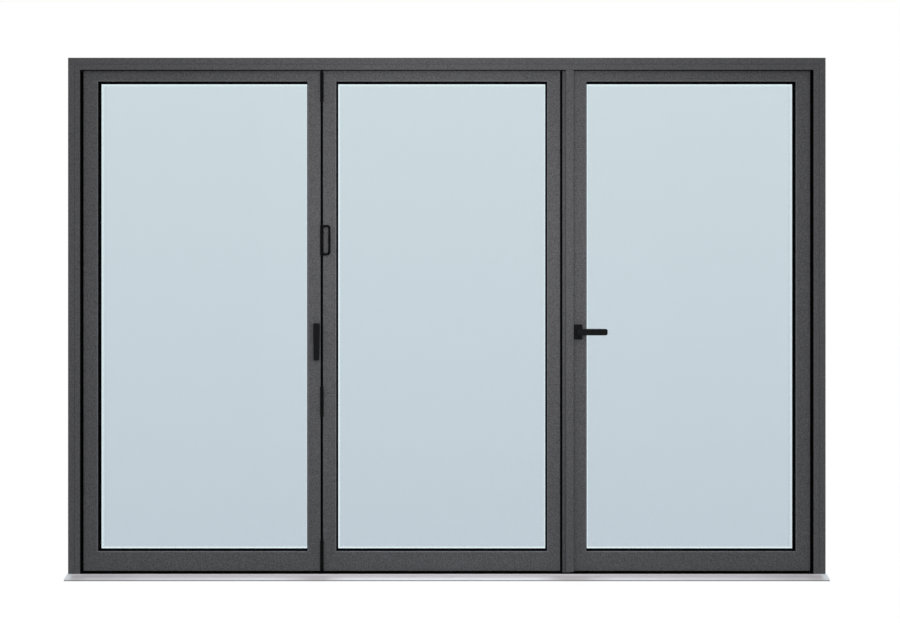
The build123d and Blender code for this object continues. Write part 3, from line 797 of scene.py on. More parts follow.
class Workpiece:
    """A mesh on the bench: it starts as a primitive and edit-mode operators shape it."""

    def __init__(self, name: str, add: Callable, scale: Place, **settings: object) -> None:
        """Add a primitive and start to edit it.

        Args:
            name: The piece's name.
            add: The operator that adds the primitive.
            scale: How far the primitive is stretched along its own axes.
            settings: The operator's settings.
        """
        clear_selection()
        add(**settings)
        self.obj = bpy.context.active_object
        self.obj.name = self.obj.data.name = name
        self.obj.scale = scale
        bpy.ops.object.transform_apply(location=True, rotation=True, scale=True)
        bpy.ops.object.mode_set(mode="EDIT")

    @classmethod
    def block(cls, name: str, low: Place, high: Place) -> Self:
        """Start from a cube stretched between two corners."""
        size, middle = Vector(high) - Vector(low), (Vector(low) + Vector(high)) / 2
        return cls(name, bpy.ops.mesh.primitive_cube_add, size, size=1.0, location=middle)

    @classmethod
    def rod(
        cls,
        name: str,
        centre: Place,
        radius: float,
        length: float,
        axis: str = "z",
        sides: int = 32,
    ) -> Self:
        """Start from a cylinder along an axis."""
        sizes = {"vertices": sides, "radius": radius, "depth": length, "rotation": TURNS[axis]}
        return cls(name, bpy.ops.mesh.primitive_cylinder_add, UNSCALED, location=centre, **sizes)

    @classmethod
    def sheet(cls, name: str, centre: Place, size: Span, turn: Point = UPRIGHT) -> Self:
        """Start from a plane, which faces the room unless it is turned otherwise."""
        add = bpy.ops.mesh.primitive_plane_add
        return cls(name, add, (*size, 1.0), size=1.0, location=centre, rotation=turn)

    def _select(self, kind: str, parts: str, tests: Sequence[Test], measure: Callable) -> Self:
        """Select the faces, edges or corners that pass all of some tests.

        Args:
            kind: The select mode.
            parts: The mesh's list of such parts.
            tests: The tests.
            measure: What the tests are given for a part: its place and its direction.

        Returns:
            The workpiece.
        """
        bpy.ops.mesh.select_mode(type=kind)
        bpy.ops.mesh.select_all(action="DESELECT")
        shape = bmesh.from_edit_mesh(self.obj.data)
        for part in getattr(shape, parts):
            part.select_set(all(test(*measure(part)) for test in tests))
        shape.select_flush_mode()
        bmesh.update_edit_mesh(self.obj.data)
        return self

    def faces(self, *tests: Test) -> Self:
        """Select faces by tests of their middle and normal."""
        return self._select("FACE", "faces", tests, lambda f: (f.calc_center_median(), f.normal))

    def edges(self, *tests: Test) -> Self:
        """Select edges by tests of their middle and direction."""
        return self._select("EDGE", "edges", tests, edge_line)

    def corners(self, *tests: Test) -> Self:
        """Select corners by tests of their place."""
        return self._select("VERT", "verts", tests, lambda v: (v.co, v.normal))

    def work(self, operator: Callable, **settings: object) -> Self:
        """Run an operator on the selection."""
        operator(**settings)
        return self

    def whole(self) -> Self:
        """Select all of the mesh."""
        return self.work(bpy.ops.mesh.select_all, action="SELECT")

    def bevel(self, width: float, segments: int) -> Self:
        """Round the selected edges."""
        return self.work(bpy.ops.mesh.bevel, offset=width, segments=segments, affect="EDGES")

    def inset(self, width: float) -> Self:
        """Inset the selected faces."""
        return self.work(bpy.ops.mesh.inset, thickness=width, depth=0.0)

    def extrude(self, by: Place) -> Self:
        """Pull the selection out."""
        move = {"value": by}
        return self.work(bpy.ops.mesh.extrude_region_move, TRANSFORM_OT_translate=move)

    def turn_up(self, centre: Point) -> Self:
        """Turn the selected section upwards round a quarter of a circle about Y."""
        turn = {"steps": 10, "angle": math.pi / 2, "center": centre, "axis": (0.0, 1.0, 0.0)}
        return self.work(bpy.ops.mesh.spin, **turn)

    def resize(self, by: Point, centre: Place) -> Self:
        """Scale the selection about a point."""
        return self.work(bpy.ops.transform.resize, value=by, center_override=centre)

    def cut(self, axis: str, value: float) -> Self:
        """Add a ring of edges where the mesh crosses one value of an axis."""
        normal = Vector([float(axis == name) for name in "xyz"])
        return self.whole().work(bpy.ops.mesh.bisect, plane_co=normal * value, plane_no=normal)

    def remove_faces(self) -> Self:
        """Delete the selected faces."""
        return self.work(bpy.ops.mesh.delete, type="FACE")

    def round_front(self, side: Side, width: float, segments: int) -> Self:
        """Round the rim of the face that looks out on one side of the door.

        Args:
            side: The side.
            width: The rounding's width.
            segments: Its number of segments.

        Returns:
            The workpiece.
        """
        shape = bmesh.from_edit_mesh(self.obj.data)
        front = side.value * max(corner.co.y * side.value for corner in shape.verts)
        return self.edges(at("y", front), across("y")).bevel(width, segments)

    def clean(self, merge: float) -> Self:
        """Merge corners that lie together and turn the normals outwards."""
        self.whole().work(bpy.ops.mesh.remove_doubles, threshold=merge)
        return self.work(bpy.ops.mesh.normals_make_consistent, inside=False)

    def done(self, smooth: float = SMOOTH) -> Thing:
        """Clean the mesh, leave edit mode and smooth the curved faces.

        Args:
            smooth: The angle in degrees up to which two faces shade as one.

        Returns:
            The object.
        """
        self.clean(0.000002)
        bpy.ops.object.mode_set(mode="OBJECT")
        select_only(self.obj)
        bpy.ops.object.shade_smooth_by_angle(angle=math.radians(smooth))
        return self.obj

    def bored(self, centre: Place, radius: float) -> Thing:
        """Finish the piece with a round hole through it along Y.

        Args:
            centre: A point on the hole's middle line.
            radius: The hole's radius.

        Returns:
            The object.
        """
        plate = self.done()
        cutter = Workpiece.rod("bore", centre, radius, 0.05, "y", 48).done()
        modifier = plate.modifiers.new("bore", "BOOLEAN")
        modifier.operation, modifier.object, modifier.solver = "DIFFERENCE", cutter, "EXACT"
        select_only(plate)
        bpy.ops.object.modifier_apply(modifier=modifier.name)
        bpy.data.objects.remove(cutter)
        bpy.ops.object.shade_smooth_by_angle(angle=math.radians(SMOOTH))
        return plate


def joined(name: str, parts: Sequence[Thing]) -> Thing:
    """Join some objects into one piece.

    Args:
        name: The piece's name.
        parts: The objects, which are used up.

    Returns:
        The joined object.
    """
    select_only(*parts)
    bpy.ops.object.join()
    piece = bpy.context.active_object
    piece.name = piece.data.name = name
    return piece


def copied(name: str, model: Thing, places: Sequence[Place]) -> Thing:
    """Copy a modelled object to each of some places and join the copies.

    Args:
        name: The joined piece's name.
        model: The object to copy, which is used up.
        places: How far each copy is moved.

    Returns:
        The joined object.
    """
    copies = []
    for place in places:
        copy = model.copy()
        copy.data = model.data.copy()
        copy.data.transform(Matrix.Translation(place))
        bpy.context.scene.collection.objects.link(copy)
        copies.append(copy)
    bpy.data.objects.remove(model)
    return joined(name, copies)


@dataclass(frozen=True)
class ScrewHead:
    """A small round screw head with a socket."""

    radius: float
    height: float
    rim: float
    socket: float
    socket_depth: float
    sides: int

    def model(self, name: str, centre: Place, axis: str, way: int) -> Thing:
        """Model the head.

        Args:
            name: The object's name.
            centre: The head's middle.
            axis: The axis that it faces along.
            way: Which way it faces: 1 up the axis or -1 down it.

        Returns:
            The object.
        """
        inward = Vector([-way * self.socket_depth * (axis == name) for name in "xyz"])
        face = at(axis, centre["xyz".index(axis)] + way * self.height / 2)
        head = Workpiece.rod(name, centre, self.radius, self.height, axis, self.sides)
        head.edges(face).bevel(self.rim, 2)
        head.faces(face, along(axis)).inset(self.radius - self.socket)
        return head.extrude(inward).done(SMOOTH_SCREW)


HINGE_SCREW = ScrewHead(
    radius=0.0034, height=0.0009, rim=0.0004, socket=0.0016, socket_depth=0.0006, sides=24
)
LOCK_SCREW = ScrewHead(
    radius=0.0036, height=0.0008, rim=0.0003, socket=0.0018, socket_depth=0.0003, sides=20
)


@dataclass
class SubAssembly:
    """A part of the door that is dressed and built together."""

    palette: Palette

    def mount(self, piece: Thing, body: Body, finish: Finish, replaces: Sequence[str] = ()) -> None:
        """Give a finished piece its material and its place in the frame.

        Args:
            piece: The object.
            body: The body that it moves with.
            finish: Its finish.
            replaces: CAD nodes that it stands for.
        """
        piece.data.materials.clear()
        piece.data.materials.append(self.palette.materials[finish])
        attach(piece, body.value)
        if replaces:
            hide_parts(*replaces)
        LOG.info("built %s on %s, %d faces", piece.name, body.value, len(piece.data.polygons))


@dataclass
class OuterFrame(SubAssembly):
    """Head, jambs, threshold, mat, ramp and the seals beside the jambs."""

    head_runs: Sequence[Span] = ((-1.4495, 0.4705), (0.5035, 1.4495))
    head_seal_height: float = 0.0015
    head_seal_y: Span = (-0.0385, -0.0305)
    head_seal_round: float = 0.0005
    bulb_runs: Sequence[Span] = ((-1.452, 0.4595), (0.4915, 1.445))
    bulb_y: Span = (0.0122, 0.0180)
    bulb_round: float = 0.0024
    bulb_clearance: float = 0.001
    leaf_gap: float = 0.008

    def head_seal(self) -> Thing:
        """Model a thin black strip under the head's front edge, in two runs: painted shade that
        deepens the shadow line there.

        Returns:
            The seal.
        """
        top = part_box("left_jamb_seal")[1].z
        bottom = top - self.head_seal_height
        front, back = self.head_seal_y
        runs = []
        for start, end in self.head_runs:
            run = Workpiece.block("head_seal_run", (start, front, bottom), (end, back, top))
            run.edges(along("x"), at("z", bottom)).bevel(self.head_seal_round, 3)
            runs.append(run.done(SMOOTH_RUBBER))
        return joined("head_seal", runs)

    def bulb(self, name: str, low: Point, high: Point, *rounded: Test) -> Thing:
        """Model one bulb with rounded edges on the side towards the leaf."""
        bulb = Workpiece.block(name, low, high).edges(*rounded)
        return bulb.bevel(self.bulb_round, 5).done(SMOOTH_RUBBER)

    def gap_bulbs(self) -> Thing:
        """Model the rubber bulbs that fill the gaps over, under and beside the leaves.

        Returns:
            The bulbs.
        """
        low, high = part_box("door_leaf_right_stile")
        front, back = self.bulb_y
        near, far = self.bulb_clearance, self.leaf_gap
        floor, soft_floor = low.z - far, low.z - near
        soft_head, head = high.z + near, high.z + far
        bulbs = []
        for start, end in self.bulb_runs:
            for name, z0, z1, soft in (
                ("floor_bulb", floor, soft_floor, soft_floor),
                ("head_bulb", soft_head, head, soft_head),
            ):
                corners = (start, front, z0), (end, back, z1)
                bulbs.append(self.bulb(name, *corners, along("x"), at("z", soft)))
        side = high.x + near
        corners = (side, front, floor), (high.x + far, back, head)
        bulbs.append(self.bulb("jamb_bulb", *corners, along("z"), at("x", side)))
        return joined("gap_bulbs", bulbs)

    def build(self) -> None:
        """Dress the outer frame, hang the black strip of painted shade under the head and fill the
        gaps round the leaves.
        """
        self.palette.dress(Finish.COATING, "head_frame", "left_jamb", "right_jamb")
        self.palette.dress(Finish.ALUMINIUM, "threshold", "entry_ramp")
        self.palette.dress(Finish.RUBBER, "left_jamb_seal", "right_jamb_seal")
        self.palette.dress(Finish.MAT, "threshold_mat")
        self.mount(self.head_seal(), Body.FRAME, Finish.RUBBER)
        self.mount(self.gap_bulbs(), Body.FRAME, Finish.RUBBER)


@dataclass
class Glazing(SubAssembly):
    """Bars, glass, beads, spacers and gaskets of the leaves on one body."""

    name: str
    leaves: Sequence[str]
    body: Body
    spacers: str
    edge_cover: float = 0.018
    outer_setback: float = 0.010
    room_sight: float = 0.0053
    outer_sight: float = 0.002
    room_depth: float = 0.004
    outer_depth: float = 0.003
    lining: float = 0.0008
    lining_start: float = -0.0225
    lip_round: float = 0.0018
    bars: Sequence[str] = ("left_stile", "right_stile", "bottom_rail", "top_rail")

    def ring(self, name: str, leaf: str, grow: float, width: float, span: Span) -> Thing:
        """Model a flat ring round one daylight opening, its inner front edge rounded.

        Args:
            name: The ring's name.
            leaf: The leaf that it belongs to.
            grow: How far the ring's outer edge lies behind the daylight edge.
            width: The ring's width.
            span: Where it starts, and where its rounded end is, along Y.

        Returns:
            The ring.
        """
        low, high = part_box(f"{leaf}_glass")
        start, end = span
        centre = Vector(((low.x + high.x) / 2, start, (low.z + high.z) / 2))
        half_x = (high.x - low.x) / 2 - self.edge_cover + grow
        half_z = (high.z - low.z) / 2 - self.edge_cover + grow
        ring = Workpiece.sheet(name, centre, (2 * half_x, 2 * half_z))
        ring.whole().inset(width)
        ring.faces(at("x", centre.x), at("z", centre.z)).remove_faces()
        ring.whole().extrude((0.0, end - start, 0.0))
        reach_x, reach_z = half_x - width + NEAR, half_z - width + NEAR

        def inside(mid: Vector, run: Vector) -> bool:
            """Pass the ring's inner edges."""
            return abs(mid.x - centre.x) < reach_x and abs(mid.z - centre.z) < reach_z

        rounding = min(0.45 * abs(end - start), 0.5 * width, self.lip_round)
        return ring.edges(inside, at("y", end)).bevel(rounding, 4).done(SMOOTH_RUBBER)

    def gaskets(self, leaf: str) -> list[Thing]:
        """Model a leaf's gaskets on both sides of the glass, and a thin black sheet over the bead's
        reveal that is painted shade.

        Args:
            leaf: The leaf.

        Returns:
            The three rings.
        """
        low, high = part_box(f"{leaf}_glass")
        room_lip, outer_lip = low.y - self.room_depth, high.y + self.outer_depth
        cover = self.edge_cover
        outer_width = cover - self.outer_setback + self.outer_sight
        rings = (
            ("room_gasket", cover, cover + self.room_sight, (low.y, room_lip)),
            ("outer_gasket", cover, outer_width, (high.y, outer_lip)),
            # Painted shade: a thin black sheet stands for the bead's reveal in shade.
            ("lining", 0.0, self.lining, (room_lip, self.lining_start)),
        )
        return [self.ring(f"{leaf}_{name}", leaf, *sizes) for name, *sizes in rings]

    def build(self) -> None:
        """Dress the leaves and build their gaskets."""
        for leaf in self.leaves:
            self.palette.dress(Finish.COATING, *[f"{leaf}_{bar}" for bar in self.bars])
            self.palette.dress(Finish.GLASS, f"{leaf}_glass")
        self.palette.dress(Finish.BEADS, f"{self.name}_beads")
        self.palette.dress(Finish.SPACER, self.spacers)
        rings = [ring for leaf in self.leaves for ring in self.gaskets(leaf)]
        gaskets = joined(f"{self.name}_gaskets", rings)
        self.mount(gaskets, self.body, Finish.RUBBER, [f"{self.name}_glazing_seals"])


@dataclass
class FoldJoint(SubAssembly):
    """What stands between the two folding leaves: bulb seal, barrel hinges and the pull loop."""

    gap_x: float = -0.497
    half_gap: float = 0.005
    bulb_share: float = 0.22
    x: float = -0.4958
    y: float = -0.030
    radius: float = 0.00675
    length: float = 0.124
    heights: Place = (0.091, 0.702, 1.950)
    pull_height: float = 1.3415
    split: float = 0.001
    split_rim: float = 0.00012
    neck_radius: float = 0.0056
    end_radius: float = 0.0050
    end_length: float = 0.005
    end_round: float = 0.0012
    shoulder_round: float = 0.001
    blade: float = 0.0043
    blade_margin: float = 0.012
    blade_back: float = -0.020
    blade_round: float = 0.002
    loop_reach: float = 0.0388
    loop_height: float = 0.120
    loop_bar: float = 0.0085
    loop_thickness: float = 0.007
    loop_corner: float = 0.014
    loop_round: float = 0.0021
    loop_turn: float = 25.0

    def bulb_seal(self) -> Thing:
        """Model the seal in the fold gap as two rubber bulbs that meet.

        Returns:
            The seal.
        """
        low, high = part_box("fold_seal")
        middle = (low.x + high.x) / 2
        rounding = (high.x - low.x) * self.bulb_share
        halves = []
        for start, end in ((low.x, middle), (middle, high.x)):
            corners = (start, low.y, low.z), (end, high.y, high.z)
            half = Workpiece.block("fold_bulb_half", *corners)
            half.edges(along("z"), at("y", low.y)).bevel(rounding, 5)
            halves.append(half.done(SMOOTH_RUBBER))
        return joined("fold_bulb_seal", halves)

    def barrel(self, name: str, height: float) -> Thing:
        """Model one barrel: three knuckles with rounded ends, and two blades into the gap.

        Args:
            name: The object's name.
            height: The height of its middle.

        Returns:
            The barrel.
        """
        centre = (self.x, self.y, height)
        half = self.length / 2
        bottom = height - half
        rod = Workpiece.rod(name, centre, self.radius, self.length)
        rod.cut("z", bottom + self.end_length)
        rod.cut("z", bottom + self.length - self.end_length)
        share = self.end_radius / self.radius
        rod.corners(ends("z", height, half)).resize((share, share, 1.0), centre)
        rod.edges(ends("z", height, half)).bevel(self.end_round, 3)
        shoulders = ends("z", height, half - self.end_length)
        rod.edges(shoulders, across("z")).bevel(self.shoulder_round, 2)
        share = self.neck_radius / self.radius
        knuckle = (self.length - 2 * self.split) / 3
        for split in (knuckle, 2 * knuckle + self.split):
            rims = (0.0, self.split_rim, self.split - self.split_rim, self.split)
            levels = [bottom + split + rim for rim in rims]
            for level in levels:
                rod.cut("z", level)
            low, high = levels[1] - NEAR, levels[2] + NEAR
            rod.corners(lambda co, n: low < co.z < high).resize((share, share, 1.0), centre)
        parts = [rod.done(40.0)]
        z0, z1 = bottom + self.blade_margin, bottom + self.length - self.blade_margin
        for start in (self.gap_x - self.half_gap, self.gap_x + self.half_gap - self.blade):
            corners = (start, self.y, z0), (start + self.blade, self.blade_back, z1)
            plate = Workpiece.block("fold_blade", *corners)
            plate.edges(along("x"), at("y", self.blade_back)).bevel(self.blade_round, 3)
            parts.append(plate.done())
        return joined(name, parts)

    def loop(self) -> Thing:
        """Model the D loop: a rounded bar led out, up and back, turned towards the room.

        Returns:
            The loop.
        """
        bar, thick, corner = self.loop_bar, self.loop_thickness, self.loop_corner
        half = self.loop_height / 2
        bend = corner - bar / 2
        run_out = self.loop_reach - corner
        start = (0.0, 0.0, -half + bar / 2)
        path = Workpiece.sheet("pull_loop", start, (bar, thick), TURNS["x"])
        path.whole().extrude((run_out, 0.0, 0.0))
        path.turn_up((run_out, 0.0, -half + bar / 2 + bend))
        path.extrude((0.0, 0.0, 2 * half - 2 * corner))
        path.turn_up((run_out, 0.0, half - bar / 2 - bend))
        path.extrude((-run_out, 0.0, 0.0)).clean(0.00001)

        def along_path(mid: Vector, run: Vector) -> bool:
            """Pass edges that follow the bar, clear of its first section."""
            return abs(run.y) <= 0.5 and mid.x > NEAR

        path.edges(ends("y", 0.0, thick / 2), along_path).bevel(self.loop_round, 3)
        loop = path.done(50.0)
        loop.location = (self.x, self.y, self.pull_height)
        loop.rotation_euler = (0.0, 0.0, -math.radians(self.loop_turn))
        select_only(loop)
        bpy.ops.object.transform_apply(location=True, rotation=True, scale=True)
        return loop

    def build(self) -> None:
        """Build the seal, the three barrels and the pull hinge."""
        self.mount(self.bulb_seal(), Body.FRAME, Finish.RUBBER, ["fold_seal"])
        places = [(0.0, 0.0, height) for height in self.heights]
        barrels = copied("fold_barrels", self.barrel("fold_barrel", 0.0), places)
        self.mount(barrels, Body.FRAME, Finish.BARRELS, ["fold_hinges"])
        parts = [self.barrel("pull_barrel", self.pull_height), self.loop()]
        pull_hinge = joined("pull_hinge_with_loop", parts)
        self.mount(pull_hinge, Body.FRAME, Finish.BARRELS, ["pull_hinge"])


@dataclass
class JambHinges(SubAssembly):
    """The outside barrel hinges on both jambs, with their screws and pin caps."""

    pivot_x: float = 1.448
    pivot_y: float = 0.050
    plate_face: float = 0.044
    heights: Place = (0.123, 0.702, 1.3415, 1.931)
    half: float = 0.060
    flap_middle: float = 0.026
    screw_rise: float = 0.042
    cap_radius: float = 0.0072
    cap_height: float = 0.0022
    cap_round: float = 0.0016

    def screws(self, name: str, x: float) -> Thing:
        """Model the screws of one row of flaps.

        Args:
            name: The row's name.
            x: The middle of the flaps.

        Returns:
            The screws.
        """
        model = HINGE_SCREW.model("screw", (0.0, HINGE_SCREW.height / 2, 0.0), "y", 1)
        rises = (-self.screw_rise, 0.0, self.screw_rise)
        places = [(x, self.plate_face, z + rise) for z in self.heights for rise in rises]
        return copied(name, model, places)

    def caps(self, name: str, x: float) -> Thing:
        """Model the domed caps on both ends of each barrel of one row.

        Args:
            name: The row's name.
            x: The barrels' middle line.

        Returns:
            The caps.
        """
        pair = []
        for end in (-1, 1):
            centre = (0.0, self.pivot_y, end * (self.half + self.cap_height / 2))
            cap = Workpiece.rod("pin_cap", centre, self.cap_radius, self.cap_height)
            cap.edges(at("z", end * (self.half + self.cap_height))).bevel(self.cap_round, 4)
            pair.append(cap.done())
        return copied(name, joined("pin_caps", pair), [(x, 0.0, z) for z in self.heights])

    def build(self) -> None:
        """Dress the hinges and add the screws and caps."""
        self.palette.dress(Finish.FITTINGS, "left_jamb_hinge_frames", "left_leaf_hinges")
        self.palette.dress(Finish.FITTINGS, "right_jamb_hinge_frames", "door_leaf_hinges")
        rows = {
            "left_jamb_hinge_screws": (-self.pivot_x - self.flap_middle, Body.FRAME),
            "left_leaf_hinge_screws": (-self.pivot_x + self.flap_middle, Body.FRAME),
            "right_jamb_hinge_screws": (self.pivot_x + self.flap_middle, Body.FRAME),
            "door_leaf_hinge_screws": (self.pivot_x - self.flap_middle, Body.LEAF),
        }
        for name, (x, body) in rows.items():
            self.mount(self.screws(name, x), body, Finish.FITTINGS)
        for name, x in (("left_pin_caps", -self.pivot_x), ("right_pin_caps", self.pivot_x)):
            self.mount(self.caps(name, x), Body.FRAME, Finish.FITTINGS)


@dataclass
class MeetingMullion(SubAssembly):
    """The stepped upright beside the middle leaf with its seal and the lock's keep."""

    rim: float = 0.003
    opening_depth: float = 0.0018
    openings: Sequence[Span] = ((-0.042, -0.008), (0.006, 0.040))
    screw_inset: float = 0.012

    def keep(self) -> Thing:
        """Model the keep: a plate with two openings for the latch and the bolt, and two screws.

        Returns:
            The keep.
        """
        low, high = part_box("lock_keep")
        plate = Workpiece.block("lock_keep_plate", low, high)
        middle = (low.z + high.z) / 2
        openings = [(middle + bottom, middle + top) for bottom, top in self.openings]
        for level in [level for opening in openings for level in opening]:
            plate.cut("z", level)
        plate.cut("y", low.y + self.rim)
        plate.cut("y", high.y - self.rim)

        def in_opening(mid: Vector, way: Vector) -> bool:
            """Pass the faces of the two openings."""
            across_plate = low.y + self.rim < mid.y < high.y - self.rim
            return way.x > MOSTLY and across_plate and any(a < mid.z < b for a, b in openings)

        plate.faces(in_opening).extrude((-self.opening_depth, 0.0, 0.0))
        parts = [plate.done()]
        for z in (low.z + self.screw_inset, high.z - self.screw_inset):
            place = (high.x, (low.y + high.y) / 2, z)
            parts.append(LOCK_SCREW.model("keep_screw", place, "x", 1))
        return joined("lock_keep_with_openings", parts)

    def build(self) -> None:
        """Dress the mullion and build the keep."""
        self.palette.dress(Finish.COATING, "meeting_mullion")
        self.palette.dress(Finish.RUBBER, "mullion_seal")
        self.mount(self.keep(), Body.FRAME, Finish.LOCK_STEEL, ["lock_keep"])


@dataclass
class BoltHandle(SubAssembly):
    """The shoot-bolt handle on the left leaf: base and tapering grip."""

    corner: float = 0.005
    base_rim: float = 0.0014
    front_rim: float = 0.0024
    back_rim: float = 0.0008
    end_width: float = 0.022
    thickness: float = 0.012
    pivot_z: float = 1.0
    neck_radius: float = 0.007
    bore_clearance: float = 0.0001
    collar: float = 0.003
    collar_share: float = 1.22

    def base(self) -> Thing:
        """Model the base plate with its rounded rim and the bore of the neck.

        Returns:
            The base.
        """
        low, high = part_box("bolt_handle_base")
        plate = Workpiece.block("bolt_base", low, high)
        plate.edges(along("y")).bevel(self.corner, 6)
        plate.round_front(Side.ROOM, self.base_rim, 3)
        centre = ((low.x + high.x) / 2, (low.y + high.y) / 2, self.pivot_z)
        return plate.bored(centre, self.neck_radius + self.bore_clearance)

    def grip(self) -> Thing:
        """Model the grip: a block drawn in towards its end, rounded, on a neck.

        Returns:
            The grip.
        """
        low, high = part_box("bolt_handle")
        x = (low.x + high.x) / 2
        back = low.y + self.thickness
        bar = Workpiece.block("bolt_grip_bar", low, (high.x, back, high.z))
        taper = (self.end_width / (high.x - low.x), 1.0, 1.0)
        bar.corners(at("z", low.z)).resize(taper, (x, back, low.z))
        bar.edges(along("y")).bevel(self.corner, 6)
        bar.round_front(Side.ROOM, self.front_rim, 4)
        parts = [bar.round_front(Side.OUTSIDE, self.back_rim, 2).done()]
        middle = (x, (back + high.y) / 2, self.pivot_z)
        neck = Workpiece.rod("bolt_neck", middle, self.neck_radius, high.y - back, "y")
        collar = back + self.collar
        neck.cut("y", collar)
        wider = (self.collar_share, 1.0, self.collar_share)
        neck.corners(lambda co, n: co.y < collar - NEAR).resize(wider, (x, back, self.pivot_z))
        parts.append(neck.done())
        return joined("bolt_grip_with_neck", parts)

    def build(self) -> None:
        """Build the base and the grip."""
        self.mount(self.base(), Body.FRAME, Finish.FITTINGS, ["bolt_handle_base"])
        self.mount(self.grip(), Body.GRIP, Finish.FITTINGS, ["bolt_handle"])


@dataclass
class LeverSet(SubAssembly):
    """Roses and levers on both sides of the door leaf, and the lock in its edge."""

    axis_x: float = 0.5215
    axis_z: float = 0.978
    rose_corner: float = 0.004
    rose_rim: float = 0.0016
    neck_radius: float = 0.009
    bore_clearance: float = 0.0001
    collar: float = 0.2
    collar_share: float = 1.2
    room_root: float = -0.026
    spindle_radius: float = 0.004
    bar_thickness: float = 0.011
    tail_flat: float = 0.001
    end_corner: float = 0.008
    front_rim: float = 0.0022
    back_rim: float = 0.0014
    pocket: Span = (0.008, 0.038)
    pocket_depth: float = 0.0018
    plate_rim: float = 0.004
    plate_half: float = 0.12
    plate_corner: float = 0.003
    latch: Span = (-0.041, -0.009)
    latch_half: float = 0.0065
    latch_reach: float = 0.003
    latch_root: float = 0.001
    latch_slope: float = 0.0028
    latch_rim: float = 0.0004
    screw_inset: float = 0.014

    def rose(self, side: Side) -> Thing:
        """Model one rose: a rounded cover with a soft rim and a bore.

        Args:
            side: The face of the door that the rose is on.

        Returns:
            The rose.
        """
        low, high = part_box(f"{side.word}_rose")
        cover = Workpiece.block(f"{side.name.lower()}_rose_cover", low, high)
        cover.edges(along("y")).bevel(self.rose_corner, 6)
        cover.round_front(side, self.rose_rim, 4)
        centre = (self.axis_x, (low.y + high.y) / 2, self.axis_z)
        return cover.bored(centre, self.neck_radius + self.bore_clearance)

    def lever(self, side: Side) -> Thing:
        """Model one lever: a flat bar with a round tail and a soft rim, on a turned neck.

        Args:
            side: The face of the door that the lever is on.

        Returns:
            The lever.
        """
        low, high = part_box(f"{side.word}_lever")
        front = low.y if side is Side.ROOM else high.y
        back = front - side.value * self.bar_thickness
        near, far = sorted((front, back))
        corners = (low.x, near, low.z), (high.x, far, high.z)
        bar = Workpiece.block(f"{side.word}_lever_bar", *corners)
        tail = (high.z - low.z - self.tail_flat) / 2
        bar.edges(along("y"), at("x", low.x)).bevel(tail, 12)
        bar.edges(along("y"), at("x", high.x)).bevel(self.end_corner, 10)
        bar.round_front(side, self.front_rim, 4)
        parts = [bar.round_front(side.other, self.back_rim, 3).done()]
        root = self.room_root if side is Side.ROOM else low.y
        middle = (self.axis_x, (root + back) / 2, self.axis_z)
        length = abs(back - root)
        neck = Workpiece.rod(f"{side.word}_neck", middle, self.neck_radius, length, "y", 40)
        neck.cut("y", back + (root - back) * self.collar)
        wider = (self.collar_share, 1.0, self.collar_share)
        neck.corners(at("y", back)).resize(wider, middle)
        if side is Side.ROOM:
            neck.faces(at("y", root), along("y")).inset(self.neck_radius - self.spindle_radius)
            neck.extrude((0.0, high.y - root, 0.0))
        parts.append(neck.done())
        return joined(f"{side.word}_lever_handle", parts)

    def faceplate(self, low: Vector, high: Vector) -> Thing:
        """Model the plate of the lock, with the pocket of its bolt.

        Args:
            low: The plate's lowest corner.
            high: Its highest corner.

        Returns:
            The plate.
        """
        plate = Workpiece.block("lock_faceplate_plate", low, high)
        bottom, top = (self.axis_z + level for level in self.pocket)
        edges = (low.y + self.plate_rim, high.y - self.plate_rim)
        for axis, value in (("z", bottom), ("z", top), ("y", edges[0]), ("y", edges[1])):
            plate.cut(axis, value)

        def in_pocket(mid: Vector, way: Vector) -> bool:
            """Pass the face of the pocket."""
            across_plate = edges[0] < mid.y < edges[1]
            return way.x < -MOSTLY and bottom < mid.z < top and across_plate

        plate.faces(in_pocket).extrude((self.pocket_depth, 0.0, 0.0))
        plate.edges(along("x"), ends("z", self.axis_z, self.plate_half))
        return plate.bevel(self.plate_corner, 4).done()

    def tongue(self, face: float, y: float) -> Thing:
        """Model the latch with its sloping side towards the room.

        Args:
            face: The faceplate's face.
            y: The faceplate's middle.

        Returns:
            The latch.
        """
        bottom, top = (self.axis_z + level for level in self.latch)
        tip = face - self.latch_reach
        near, far = y - self.latch_half, y + self.latch_half
        corners = (tip, near, bottom), (face + self.latch_root, far, top)
        tongue = Workpiece.block("latch_tongue", *corners)
        tongue.edges(along("z"), at("x", tip), at("y", near)).bevel(self.latch_slope, 1)
        return tongue.edges(at("x", tip)).bevel(self.latch_rim, 2).done(20.0)

    def lock(self) -> Thing:
        """Model the faceplate in the leaf's edge: latch, bolt pocket and two screws.

        Returns:
            The lock's parts that show.
        """
        low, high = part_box("lock_faceplate")
        y = (low.y + high.y) / 2
        parts = [self.faceplate(low, high), self.tongue(low.x, y)]
        for z in (low.z + self.screw_inset, high.z - self.screw_inset):
            parts.append(LOCK_SCREW.model("faceplate_screw", (low.x, y, z), "x", -1))
        return joined("lock_faceplate_with_latch", parts)

    def build(self) -> None:
        """Build the roses, the levers and the lock."""
        for side in Side:
            self.mount(self.rose(side), Body.LEAF, Finish.FITTINGS, [f"{side.word}_rose"])
            self.mount(self.lever(side), Body.LEVER, Finish.FITTINGS, [f"{side.word}_lever"])
        self.mount(self.lock(), Body.LEAF, Finish.LOCK_STEEL, ["lock_faceplate"])


